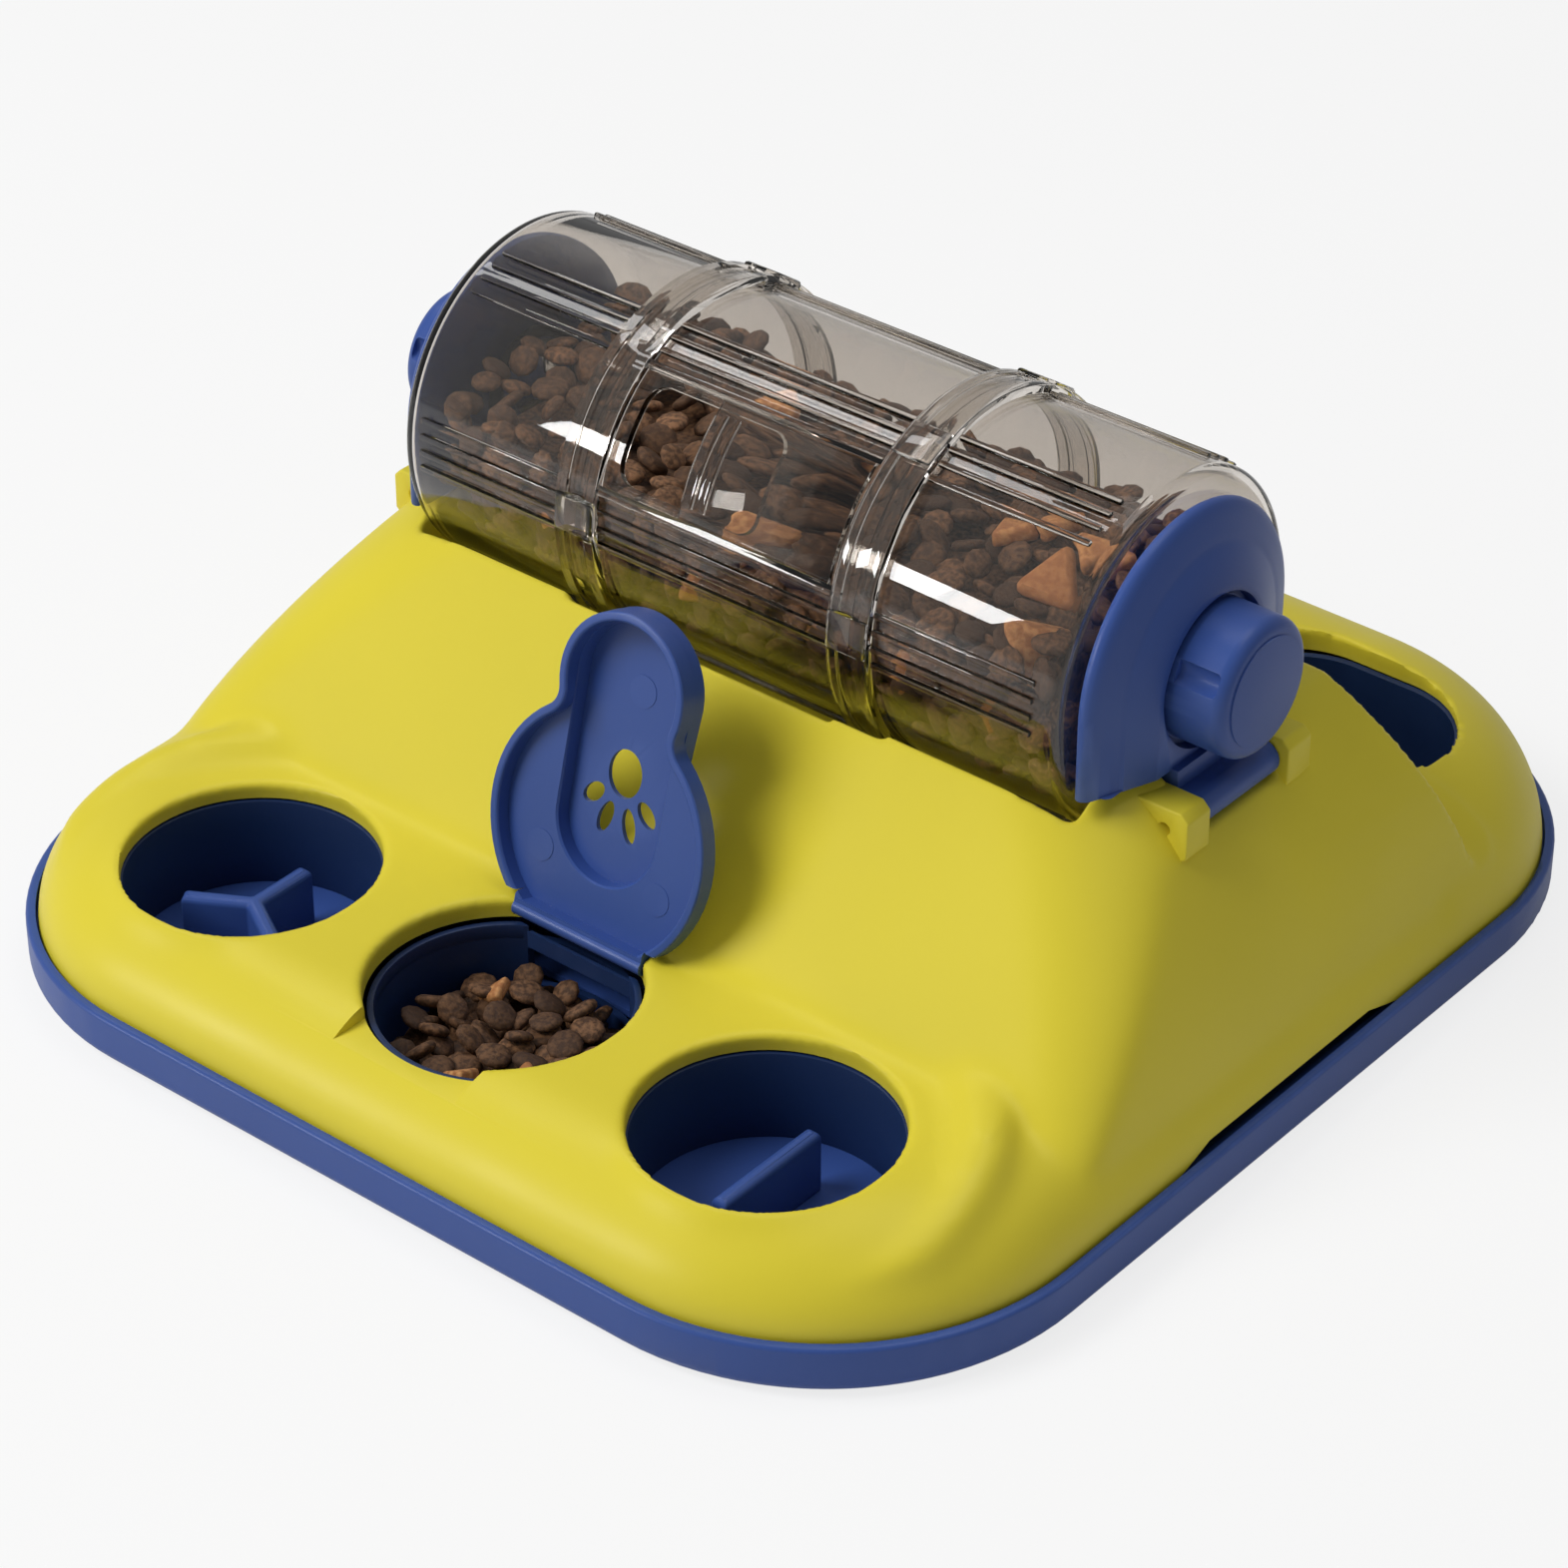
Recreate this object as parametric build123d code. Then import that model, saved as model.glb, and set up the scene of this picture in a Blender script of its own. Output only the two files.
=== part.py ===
from build123d import *
from math import cos, degrees, radians, sin
import os

# Dog puzzle feeder: a rounded-square tray with five cups, a lift-off cover whose hump carries a clear
# spinning drum between two hinged end brackets, and a flip-up lid over the middle cup.
# Millimetres. +Z up, X along the drum's axis, -Y the front. The origin is at the middle of the tray's
# outline, on the surface that the rubber feet stand on.

# ------------------------------------------------------------------ driving dimensions
# clearances
slip_gap = 0.4            # between moulded pieces that slide or lift apart
swing_gap = 0.5           # around pieces that swing
pin_fit = 0.05            # radial, pins and spindles in their bores
cut_over = 1.0            # how far a cutter runs past the face that it opens

# feet and tray
foot_radius = 9.0
foot_height = 3.0
foot_drop = 1.2           # how far a foot stands below the tray
foot_inset = 38.0         # from the tray's sides to a foot's centre
tray_width = 320.0
tray_depth = 336.0
tray_corner = 75.0
tray_height = 13.2
tray_floor = 4.2
tray_lip = 2.6            # the thin wall left outside the cover
tray_rim = 6.0            # the rim's full thickness, under the cover's edge
tray_ledge = 3.2          # depth of the ledge below the rim's top
tray_bottom_round = 3.5
tray_top_round = 1.2

# wells (openings in the cover, each with a cup of the tray below it)
cup_wall = 2.0
cup_inset = 0.6           # the cup's bore is this much smaller than the opening
cup_head_gap = 0.6        # from a cup's top to the underside of the cover
well_skirt = 4.6          # depth of the short wall that hangs from each opening's edge
front_well_radius = 33.4
front_well_x = 85.2
front_well_setback = 53.0  # from the tray's front edge to the middles of the two front wells
lid_well_radius = 32.6
rear_well_width = 68.0
rear_well_depth = 64.0
rear_well_corner = 25.0
rear_well_x = 97.0
rear_well_y = 94.0
well_lip_round = 1.6

# baffles in the two front side cups
baffle_height = 17.5
baffle_thickness = 4.5
baffle_arm = 19.0
baffle_fin_length = 36.0
baffle_round = 2.0

# feed ramp, from below the drum's slot to the gate in the lidded cup
ramp_width = 64.0
ramp_wall = 2.0
ramp_low = 12.0           # height of the ramp's floor at the gate
ramp_high = 44.0          # and at its back end
ramp_back_y = 34.0
ramp_side = 8.0           # its side walls stand this far above its floor
gate_half = 17.0
gate_height = 11.0

# cover
cover_wall = 2.6
front_deck_height = 36.2  # the low front deck around the three round wells
rear_deck_height = 52.7   # the higher deck around the two back wells
front_deck_round = 18.0
rear_deck_round = 22.0
rear_deck_start = 72.0    # Y where the high deck begins, inside the hump
grip_notch_length = 86.0  # finger notch in each side edge of the cover
grip_notch_height = 4.5

# hump
hump_top = 90.2
hump_base = 18.0          # height where the hump's flank starts to lean in
hump_half_base = 152.6
hump_half_top = 116.0
hump_bulge = 1.7          # exponent of the flank's curve
hump_front_top = -27.5    # Y of the front slope at the top
hump_front_gap = 5.7      # from the lid's hinge back to the front slope, at the hinge's height
hump_rear_top = 60.0
hump_rear_base = 92.0
hump_corner_top = 34.0
hump_corner_base = 7.0
hump_corner_bulge = 1.5   # exponent of the corner radius's growth towards the top
hump_levels = 8

# drum
drum_y = 14.0
drum_z = 111.6
drum_radius = 47.3
drum_length = 211.2
drum_wall = 2.2
drum_end_round = 3.6
band_x = 44.0             # middle of each joint band
band_width = 12.4
band_height = 2.6
rib_height = 1.1
rib_width = 1.7
rib_root = 0.3            # how deep ribs and rails are rooted in the drum's wall
rib_end_gap = 7.2         # from the ribs' ends to the drum's end
rib_pitch = 5.4           # degrees between the ribs of a group
ribs_per_group = 4
rib_groups = 6
rib_group_start = 5.0     # degrees above the front horizontal
drum_side_gap = 1.4       # ribs to trough
drum_end_gap = 1.4        # drum to end bracket and to the trough's end wall
chute_gap = 2.4           # the wider trough below the feed window
feed_slot_length = 56.0   # the slot in the trough's floor, along X
feed_slot_width = 26.0
trough_wall = 2.4

# feed window and its sliding door, in the middle of the drum
window_low_angle = 19.5   # degrees above the front horizontal
window_high_angle = 52.0
window_left = -34.0
window_right = 10.0
window_round = 5.0
door_thickness = 1.4
door_gap = 0.3
door_lap_angle = 3.0      # degrees of lap on each side of the window
door_left = -12.0
door_length = 48.0
door_ridges = 2
door_ridge_inset = 2.5
door_ridge_pitch = 4.0
door_ridge_width = 1.6
door_ridge_height = 0.8
rail_lip_angle = 1.6      # degrees of the rail's lip over the door
rail_leg_angle = 1.6      # degrees

# hubs, spindles and knobs
hub_radius = 13.0
hub_depth = 6.6
hub_flange = 4.0
socket_radius = 8.2
socket_depth = 4.5
nose_gap = 0.35
spindle_radius = 7.9
knob_radius = 18.8
knob_face_x = 133.0
knob_round = 3.4
knob_flutes = 5
knob_flute_start = 27.8
knob_flute_radius = 4.0
knob_flute_depth = 1.8
knob_back_gap = 0.6

# end brackets
bracket_radius = 41.0
bracket_outer_x = 119.6
bracket_wall = 2.6
bracket_round = 8.0
bracket_seat_gap = 0.5    # bracket to the top of the hump
bracket_corner = 6.0
recess_radius = 20.2
recess_depth = 6.0
foot_half = 15.9          # half width of the bracket's hinge foot
hinge_x = 123.0
hinge_z = 81.2
barrel_radius = 4.6
hinge_pin_radius = 1.5
ear_thickness = 6.0
ear_radius = 5.6
ear_chamfer = 2.2
ear_drop = 12.0           # height of the ear's sloping underside
pocket_floor = 72.0

# lid
lid_hinge_setback = 82.5  # from the tray's front edge to the hinge
lid_open = 74.0           # degrees from lying flat towards the back
lid_stop = 66.0           # the same, where the lid stops
lid_thickness = 2.2
lid_rim = 2.4             # width of the raised edge
lid_rim_height = 1.6
lid_body_radius = 34.2
lid_body_u = 28.0
lid_lobe_radius = 19.6
lid_lobe_u = 66.4
lid_neck_round = 6.0
lid_knuckle_radius = 2.2
lid_knuckle_half = 21.0
lid_tongue = 4.5          # length of the narrow tongue beside the hinge
lid_pin_radius = 1.0
lid_pin_half = 27.0
lid_seat_gap = 0.5
lid_channel_half = 12.5
lid_channel_round = 17.0
lid_channel_depth = 0.8
lid_vent_u = 36.0         # from the hinge to the middle of the sunk keyhole's round end
vent_main_offset = 10.0
vent_main_width = 7.5
vent_main_length = 12.5
vent_small_width = 4.2
vent_small_length = 8.0
vent_count = 4
vent_fan = 13.5           # from the large hole to the small ones
vent_spread = 32.0        # degrees between two small holes

# food
drum_food_level = 4.0     # above the drum's axis
drum_food_gap = 0.8
well_food_height = 16.0

# ------------------------------------------------------------------ derived places
tray_bottom = foot_drop
tray_top = tray_bottom + tray_height
floor_top = tray_bottom + tray_floor
ledge_top = tray_top - tray_ledge
cover_inset = tray_lip + slip_gap
cover_width = tray_width - 2 * cover_inset
cover_depth = tray_depth - 2 * cover_inset
cover_corner = tray_corner - cover_inset
drum_half = drum_length / 2
drum_inner = drum_radius - drum_wall
band_radius = drum_radius + band_height
rib_radius = drum_radius + rib_height
rail_radius = band_radius
bracket_inner_x = drum_half + drum_end_gap
trough_radius = rib_radius + drum_side_gap
band_trough_radius = band_radius + drum_side_gap
chute_radius = rail_radius + chute_gap
pocket_half = foot_half + swing_gap
pocket_x = bracket_inner_x + trough_wall
bracket_bottom = hump_top + bracket_seat_gap
front_well_y = front_well_setback - tray_depth / 2
lid_hinge_y = lid_hinge_setback - tray_depth / 2
lid_hinge_z = front_deck_height - lid_knuckle_radius
lid_well_y = lid_hinge_y - lid_body_u
lid_bed_z = lid_hinge_z - max(lid_rim_height, lid_knuckle_radius) - lid_seat_gap
# Y run of the hump's front slope for each mm of height
hump_front_slope = (hump_front_top - hump_front_gap - lid_hinge_y) / (hump_top - lid_hinge_z)


# ------------------------------------------------------------------ helpers
def save(shape, name):
    """Write one node."""
    export_step(shape, f"parts/{name}.step")


def rounded_block(width, depth, corner, bottom, top, x=0.0, y=0.0):
    """An upright block with rounded corners."""
    face = Pos(x, y, bottom) * RectangleRounded(width, depth, corner)
    return extrude(face, top - bottom)


def disc(radius, bottom, top, x=0.0, y=0.0):
    """An upright cylinder."""
    return Pos(x, y, (bottom + top) / 2) * Cylinder(radius, top - bottom)


def bar_x(radius, start, end, y=drum_y, z=drum_z):
    """A cylinder along X."""
    return Pos((start + end) / 2, y, z) * Rot(0, 90, 0) * Cylinder(radius, abs(end - start))


def bar_y(radius, start, end, x, z):
    """A cylinder along Y."""
    return Pos(x, (start + end) / 2, z) * Rot(90, 0, 0) * Cylinder(radius, abs(end - start))


def ring_x(outer, inner, start, end):
    """A tube along the drum's axis."""
    return bar_x(outer, start, end) - bar_x(inner, start - cut_over, end + cut_over)


def drum_sector(inner, outer, start_angle, end_angle, start, end):
    """A curved bar on the drum: angles in degrees above the front horizontal."""
    def at(radius, angle):
        a = radians(angle)
        return (drum_y - radius * cos(a), drum_z + radius * sin(a))
    middle = (start_angle + end_angle) / 2
    with BuildSketch(Plane.YZ.offset(start)) as section:
        with BuildLine():
            ThreePointArc(at(inner, start_angle), at(inner, middle), at(inner, end_angle))
            Line(at(inner, end_angle), at(outer, end_angle))
            ThreePointArc(at(outer, end_angle), at(outer, middle), at(outer, start_angle))
            Line(at(outer, start_angle), at(inner, start_angle))
        make_face()
    return extrude(section.sketch, end - start)


def box_between(x0, x1, y0, y1, z0, z1):
    """A box from its corner coordinates."""
    return Pos((x0 + x1) / 2, (y0 + y1) / 2, (z0 + z1) / 2) * Box(x1 - x0, y1 - y0, z1 - z0)


def xz_prism(points, y0, y1):
    """A prism along Y from an outline in X and Z."""
    with BuildSketch(Plane.XZ.offset(-y0)) as section:
        with BuildLine():
            Polyline(*points, close=True)
        make_face()
    return extrude(section.sketch, -(y1 - y0))


def yz_prism(points, x0, x1):
    """A prism along X from an outline in Y and Z."""
    with BuildSketch(Plane.YZ.offset(x0)) as section:
        with BuildLine():
            Polyline(*points, close=True)
        make_face()
    return extrude(section.sketch, x1 - x0)


def on_side(shape, side):
    """A piece modelled on the right (+X), or its mirror image when side is -1."""
    return shape if side > 0 else mirror(shape, about=Plane.YZ)


# ------------------------------------------------------------------ wells
def well_outline(kind, side, grow):
    """The plan face of a well's opening, made larger by grow."""
    if kind == "lid":
        return Pos(0, lid_well_y, 0) * Circle(lid_well_radius + grow)
    if kind == "front":
        return Pos(side * front_well_x, front_well_y, 0) * Circle(front_well_radius + grow)
    return Pos(side * rear_well_x, rear_well_y, 0) * RectangleRounded(
        rear_well_width + 2 * grow, rear_well_depth + 2 * grow, rear_well_corner + grow)


def well_prism(kind, side, grow, bottom, top):
    """An upright prism over a well's outline."""
    return extrude(Pos(0, 0, bottom) * well_outline(kind, side, grow), top - bottom)


def wells():
    """Each well with the height of the deck that it opens in."""
    yield "lid", 1, front_deck_height
    for side in (-1, 1):
        yield "front", side, front_deck_height
        yield "rear", side, rear_deck_height


# ------------------------------------------------------------------ tray
def make_tray():
    body = rounded_block(tray_width, tray_depth, tray_corner, tray_bottom, tray_top)
    body = fillet(body.faces().sort_by(Axis.Z)[0].edges(), tray_bottom_round)
    body = fillet(body.faces().sort_by(Axis.Z)[-1].edges(), tray_top_round)
    body -= rounded_block(tray_width - 2 * tray_lip, tray_depth - 2 * tray_lip,
                          tray_corner - tray_lip, ledge_top, tray_top + cut_over)
    body -= rounded_block(tray_width - 2 * tray_rim, tray_depth - 2 * tray_rim,
                          tray_corner - tray_rim, floor_top, tray_top + cut_over)
    for x, y in foot_places():
        body -= disc(foot_radius + pin_fit, tray_bottom - cut_over, foot_height, x, y)
    return body


def make_cup(kind, side, deck):
    """The wall of one cup, standing on the tray's floor under its opening."""
    edge = lid_bed_z if kind == "lid" else deck
    cup = well_prism(kind, side, cup_wall - cup_inset, floor_top, edge - well_skirt - cup_head_gap)
    cup -= well_prism(kind, side, -cup_inset, floor_top, deck)
    if kind == "lid":
        cup -= box_between(-gate_half, gate_half, lid_well_y, 0, ramp_low, ramp_low + gate_height)
    return cup


def ramp_front_y():
    """Y of the ramp's front end, just behind the lidded cup."""
    return lid_well_y + lid_well_radius + cup_wall - cup_inset + slip_gap


def make_feed_ramp():
    """A sloping channel that stands on the tray's floor on its two side walls."""
    front = ramp_front_y()
    floor = [(front, ramp_low - ramp_wall), (ramp_back_y, ramp_high - ramp_wall),
             (ramp_back_y, ramp_high), (front, ramp_low)]
    side = [(front, floor_top), (ramp_back_y, floor_top), (ramp_back_y, ramp_high + ramp_side),
            (front, ramp_low + ramp_side)]
    half = ramp_width / 2
    ramp = yz_prism(floor, -half, half)
    for edge in (-half, half - ramp_wall):
        ramp += yz_prism(side, edge, edge + ramp_wall)
    return ramp


def foot_places():
    """The plan places of the four feet."""
    reach_x = tray_width / 2 - foot_inset
    reach_y = tray_depth / 2 - foot_inset
    return [(sx * reach_x, sy * reach_y) for sx in (-1, 1) for sy in (-1, 1)]


def make_foot(x, y):
    foot = disc(foot_radius, 0, foot_height, x, y)
    return fillet(foot.faces().sort_by(Axis.Z)[0].edges(), foot_drop / 2)


def make_star_baffle():
    """Three arms that meet in the middle of the left front cup."""
    blade = box_between(0, baffle_arm, -baffle_thickness / 2, baffle_thickness / 2, 0, baffle_height)
    star = disc(baffle_thickness / 2, 0, baffle_height)
    for turn in (90, 210, 330):
        star += Rot(0, 0, turn) * blade
    star = fillet(star.faces().sort_by(Axis.Z)[-1].edges(), baffle_round)
    return Pos(-front_well_x, front_well_y, floor_top) * star


def make_fin_baffle():
    """One straight wall across the right front cup."""
    half = baffle_fin_length / 2
    fin = box_between(-baffle_thickness / 2, baffle_thickness / 2, -half, half, 0, baffle_height)
    fin = fillet(fin.faces().sort_by(Axis.Z)[-1].edges(), baffle_round)
    return Pos(front_well_x, front_well_y, floor_top) * fin


# ------------------------------------------------------------------ cover
def hump_form(inset):
    """The hump: rounded-rectangle sections that shrink upwards, their flanks bulging outwards."""
    faces = []
    for level in range(hump_levels + 1):
        share = level / hump_levels
        z = hump_base + (hump_top - hump_base) * share
        half = hump_half_base + (hump_half_top - hump_half_base) * share ** hump_bulge - inset
        front = hump_front_top - (hump_top - z) * hump_front_slope + inset
        rear = hump_rear_base + (hump_rear_top - hump_rear_base) * share - inset
        corner = hump_corner_base + (hump_corner_top - hump_corner_base) * share ** hump_corner_bulge
        face = RectangleRounded(2 * half, rear - front, corner)
        faces.append(Pos(0, (front + rear) / 2, z) * face)
    return loft(faces)


def deck_form(inset, height, corner_round):
    """A deck on the cover's own outline, its top edge rounded."""
    block = rounded_block(cover_width - 2 * inset, cover_depth - 2 * inset, cover_corner - inset,
                          ledge_top, height)
    return fillet(block.faces().sort_by(Axis.Z)[-1].edges(), corner_round)


def cover_form(inset):
    """The cover as a solid, its faces moved inwards by inset."""
    front = deck_form(inset, front_deck_height - inset, front_deck_round - inset)
    rear = deck_form(inset, rear_deck_height - inset, rear_deck_round - inset)
    rear &= box_between(-tray_width, tray_width, rear_deck_start + inset, tray_depth, 0, hump_top)
    hump = hump_form(inset)
    hump -= box_between(-tray_width, tray_width, -tray_depth, tray_depth, hump_top - inset, 2 * hump_top)
    return front + rear + hump


def trough(grow):
    """The stepped round bed of the drum: sides, band grooves and the wide chute in the middle."""
    end = bracket_inner_x + grow
    band_in = band_x - band_width / 2 - drum_side_gap - grow
    band_out = band_x + band_width / 2 + drum_side_gap + grow
    shape = bar_x(trough_radius + grow, -end, end)
    for side in (-1, 1):
        shape += bar_x(band_trough_radius + grow, side * band_in, side * band_out)
    return shape + bar_x(chute_radius + grow, -band_in, band_in)


def ear_outline():
    """The ear's side view: a head around the pin, on a block that tapers into the flank."""
    top = hinge_z + ear_radius
    face = hinge_x + ear_radius
    return [(pocket_x, top), (face - ear_chamfer, top), (face, top - ear_chamfer),
            (face, hinge_z - ear_chamfer), (hinge_x - ear_chamfer, hinge_z - ear_drop),
            (pocket_x, hinge_z - ear_drop)]


def make_cover():
    outer = cover_form(0)
    shell = outer - cover_form(cover_wall)
    shell += trough(trough_wall) & outer
    shell += lid_bed(cover_wall, lid_pin_half, lid_bed_z - cover_wall, front_deck_height) & outer
    ear_end = pocket_half + ear_thickness
    for kind, side, deck in wells():
        edge = lid_bed_z if kind == "lid" else deck
        shell += well_prism(kind, side, cover_wall, edge - well_skirt, edge)
    for side in (-1, 1):
        collar = well_prism("rear", side, cover_wall, rear_deck_height - cover_wall, hump_top)
        block = box_between(bracket_inner_x, hinge_x, drum_y - ear_end, drum_y + ear_end,
                            pocket_floor - cover_wall, hump_top)
        shell += collar & outer
        shell += on_side(block, side) & outer
        for ear_side in (-1, 1):
            near, far = sorted((drum_y + ear_side * pocket_half, drum_y + ear_side * ear_end))
            shell += on_side(xz_prism(ear_outline(), near, far), side)
    shell -= trough(0)
    slot_half = feed_slot_width / 2
    shell -= box_between(-feed_slot_length / 2, feed_slot_length / 2, drum_y - slot_half,
                         drum_y + slot_half, rear_deck_height, drum_z)
    for kind, side, _ in wells():
        shell -= well_prism(kind, side, 0, floor_top, hump_top + cut_over)
    notch_top = tray_top + grip_notch_height
    for side in (-1, 1):
        pocket = box_between(pocket_x, tray_width / 2, drum_y - pocket_half, drum_y + pocket_half,
                             pocket_floor, drum_z)
        bore = bar_y(hinge_pin_radius + pin_fit, drum_y - ear_end - cut_over,
                     drum_y + ear_end + cut_over, hinge_x, hinge_z)
        notch = box_between(cover_width / 2 - 2 * cover_wall, tray_width / 2, -grip_notch_length / 2,
                            grip_notch_length / 2, tray_bottom, notch_top)
        for cut in (pocket, bore, notch):
            shell -= on_side(cut, side)
    shell -= lid_bed(0, lid_knuckle_half + swing_gap, lid_bed_z, drum_z)
    shell -= lid_hinge_bar(lid_pin_radius + pin_fit, lid_pin_half)
    lips = shell.edges().filter_by(GeomType.CIRCLE)
    lips = lips.filter_by(lambda edge: abs(edge.radius - front_well_radius) < slip_gap)
    return fillet(lips.group_by(Axis.Z)[-1], well_lip_round)


def lid_bed(grow, barrel_half, bottom, top):
    """The shallow bed that the shut lid lies in: its plan, open to the front, and its hinge barrel."""
    reach = lid_seat_gap + grow
    body = disc(lid_body_radius + reach, bottom, top, 0, lid_well_y)
    body &= box_between(-tray_width, tray_width, -tray_depth, lid_hinge_y, bottom, top)
    lobe_y = lid_hinge_y - lid_lobe_u
    half = lid_lobe_radius + reach
    lobe = box_between(-half, half, lobe_y - lid_lobe_radius, lid_well_y, bottom, top)
    room = lid_knuckle_radius + swing_gap + grow
    stop = radians(lid_stop)
    lean = (lid_thickness + lid_knuckle_radius * cos(stop)) / sin(stop) + swing_gap + grow
    half = barrel_half + grow
    barrel = box_between(-half, half, lid_hinge_y - room, lid_hinge_y + max(room, lean), bottom, top)
    return body + lobe + barrel


def lid_hinge_bar(radius, half):
    """A cylinder on the lid's hinge axis."""
    return bar_x(radius, -half, half, lid_hinge_y, lid_hinge_z)


# ------------------------------------------------------------------ drum
def rib_angles():
    """The angle of every rib, group by group, in degrees above the front horizontal."""
    first = -rib_pitch * (ribs_per_group - 1) / 2
    for group in range(rib_groups):
        for rib in range(ribs_per_group):
            yield rib_group_start + group * 360 / rib_groups + first + rib * rib_pitch


def ribs(start, end):
    """All the ribs along one stretch of the drum."""
    half_turn = degrees(rib_width / drum_radius) / 2
    for angle in rib_angles():
        yield drum_sector(drum_radius - rib_root, rib_radius, angle - half_turn, angle + half_turn,
                          start, end)


def make_drum_end(side):
    """One end third of the drum: a tube with its end wall, and the ribs on it."""
    shell = bar_x(drum_radius, band_x, drum_half)
    shell = fillet(shell.faces().sort_by(Axis.X)[-1].edges(), drum_end_round)
    shell -= bar_x(drum_inner, band_x - cut_over, drum_half - drum_wall)
    shell -= bar_x(hub_radius + pin_fit, drum_half - 2 * drum_wall, drum_half + cut_over)
    for rib in ribs(band_x + band_width / 2, drum_half - rib_end_gap):
        shell += rib
    return on_side(shell, side)


def make_drum_middle():
    """The middle third: a tube with the feed window and the rails of its door."""
    shell = ring_x(drum_radius, drum_inner, -band_x, band_x)
    reach = band_x - band_width / 2
    for rib in ribs(-reach, reach):
        shell += rib
    slack = 2 * degrees(door_gap / drum_radius)
    lip_radius = drum_radius + door_thickness + 2 * door_gap
    low = window_low_angle - door_lap_angle - slack
    high = window_high_angle + door_lap_angle + slack
    for edge, turn in ((low, -1), (high, 1)):
        leg = sorted((edge, edge + turn * rail_leg_angle))
        lip = sorted((edge + turn * rail_leg_angle, edge - turn * rail_lip_angle))
        shell += drum_sector(drum_radius - rib_root, rail_radius, *leg, -reach, reach)
        shell += drum_sector(lip_radius, rail_radius, *lip, -reach, reach)
    window = drum_sector(drum_inner - cut_over, drum_radius + cut_over, window_low_angle,
                         window_high_angle, window_left, window_right)
    corners = window.edges().filter_by(GeomType.LINE).filter_by(Axis.X, reverse=True)
    return shell - fillet(corners, window_round)


def make_band(side):
    """The ring that clamps two thirds of the drum together."""
    half = band_width / 2
    ring = ring_x(band_radius, drum_radius + pin_fit, band_x - half, band_x + half)
    rim = ring.edges().filter_by(GeomType.CIRCLE).sort_by(SortBy.RADIUS)[-2:]
    return on_side(fillet(rim, band_height / 3), side)


def make_feed_door():
    """The curved door that slides along the drum over the window, with two finger ridges."""
    inner = drum_radius + door_gap
    outer = inner + door_thickness
    low = window_low_angle - door_lap_angle
    high = window_high_angle + door_lap_angle
    door = drum_sector(inner, outer, low, high, door_left, door_left + door_length)
    clear = 2 * rail_lip_angle + rail_leg_angle
    for ridge in range(door_ridges):
        start = door_left + door_ridge_inset + ridge * door_ridge_pitch
        door += drum_sector(outer - rib_root, outer + door_ridge_height, low + clear, high - clear,
                            start, start + door_ridge_width)
    return door


def cone_x(big, small, start, end):
    """A cone along the drum's axis, from radius big at start to radius small at end."""
    cone = Cone(big, small, abs(end - start))
    turn = 90 if end > start else -90
    return Pos((start + end) / 2, drum_y, drum_z) * Rot(0, turn, 0) * cone


def make_hub(side):
    """The bearing in the drum's end wall: a flanged plug with a conical socket."""
    inner_face = drum_half - drum_wall
    hub = bar_x(hub_radius, drum_half - hub_depth, drum_half)
    hub += bar_x(hub_radius + hub_flange, inner_face - drum_wall, inner_face)
    hub -= cone_x(socket_radius, socket_radius - socket_depth, drum_half, drum_half - socket_depth)
    return on_side(hub, side)


# ------------------------------------------------------------------ end brackets and knobs
def bracket_outline(inset):
    """The bracket's end view: round above the axis, square below it."""
    radius = bracket_radius - inset
    bottom = bracket_bottom + inset
    with BuildSketch(Plane.YZ.offset(bracket_inner_x)) as section:
        with Locations((drum_y, drum_z)):
            Circle(radius)
        with Locations((drum_y, (drum_z + bottom) / 2)):
            Rectangle(2 * radius, drum_z - bottom)
        with Locations((drum_y, bottom - radius)):
            Rectangle(4 * radius, 2 * radius, mode=Mode.SUBTRACT)
        fillet(section.vertices().group_by(Axis.Y)[0], bracket_corner - inset)
    return section.sketch


def bracket_foot():
    """The foot below the plate: a web that ends in the hinge barrel."""
    web = [(bracket_outer_x - recess_depth, bracket_bottom + bracket_round), (bracket_outer_x,
            bracket_bottom + bracket_round), (bracket_outer_x, hinge_z + barrel_radius),
           (hinge_x, hinge_z + barrel_radius), (hinge_x, hinge_z), (hinge_x - barrel_radius, hinge_z),
           (bracket_outer_x - recess_depth, bracket_bottom - bracket_wall)]
    foot = xz_prism(web, drum_y - foot_half, drum_y + foot_half)
    return foot + bar_y(barrel_radius, drum_y - foot_half, drum_y + foot_half, hinge_x, hinge_z)


def make_bracket(side):
    """The dished plate that carries one end of the drum, with its hinge foot."""
    depth = bracket_outer_x - bracket_inner_x
    recess_floor = bracket_outer_x - recess_depth
    plate = extrude(bracket_outline(0), depth)
    plate = fillet(plate.faces().sort_by(Axis.X)[-1].edges(), bracket_round)
    plate -= extrude(bracket_outline(bracket_wall), depth - bracket_wall)
    plate += bar_x(recess_radius + bracket_wall, bracket_inner_x, bracket_outer_x)
    plate -= box_between(bracket_inner_x, pocket_x + swing_gap, drum_y - foot_half, drum_y + foot_half,
                         pocket_floor, bracket_bottom)
    plate += bracket_foot()
    plate -= bar_x(recess_radius, recess_floor, bracket_outer_x + barrel_radius)
    plate -= ring_x(recess_radius, spindle_radius + bracket_wall, bracket_inner_x,
                    recess_floor - bracket_wall)
    plate -= bar_x(spindle_radius + pin_fit, bracket_inner_x - cut_over, bracket_outer_x)
    plate -= bar_y(hinge_pin_radius + pin_fit, drum_y - 2 * foot_half, drum_y + 2 * foot_half,
                   hinge_x, hinge_z)
    return on_side(plate, side)


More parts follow.
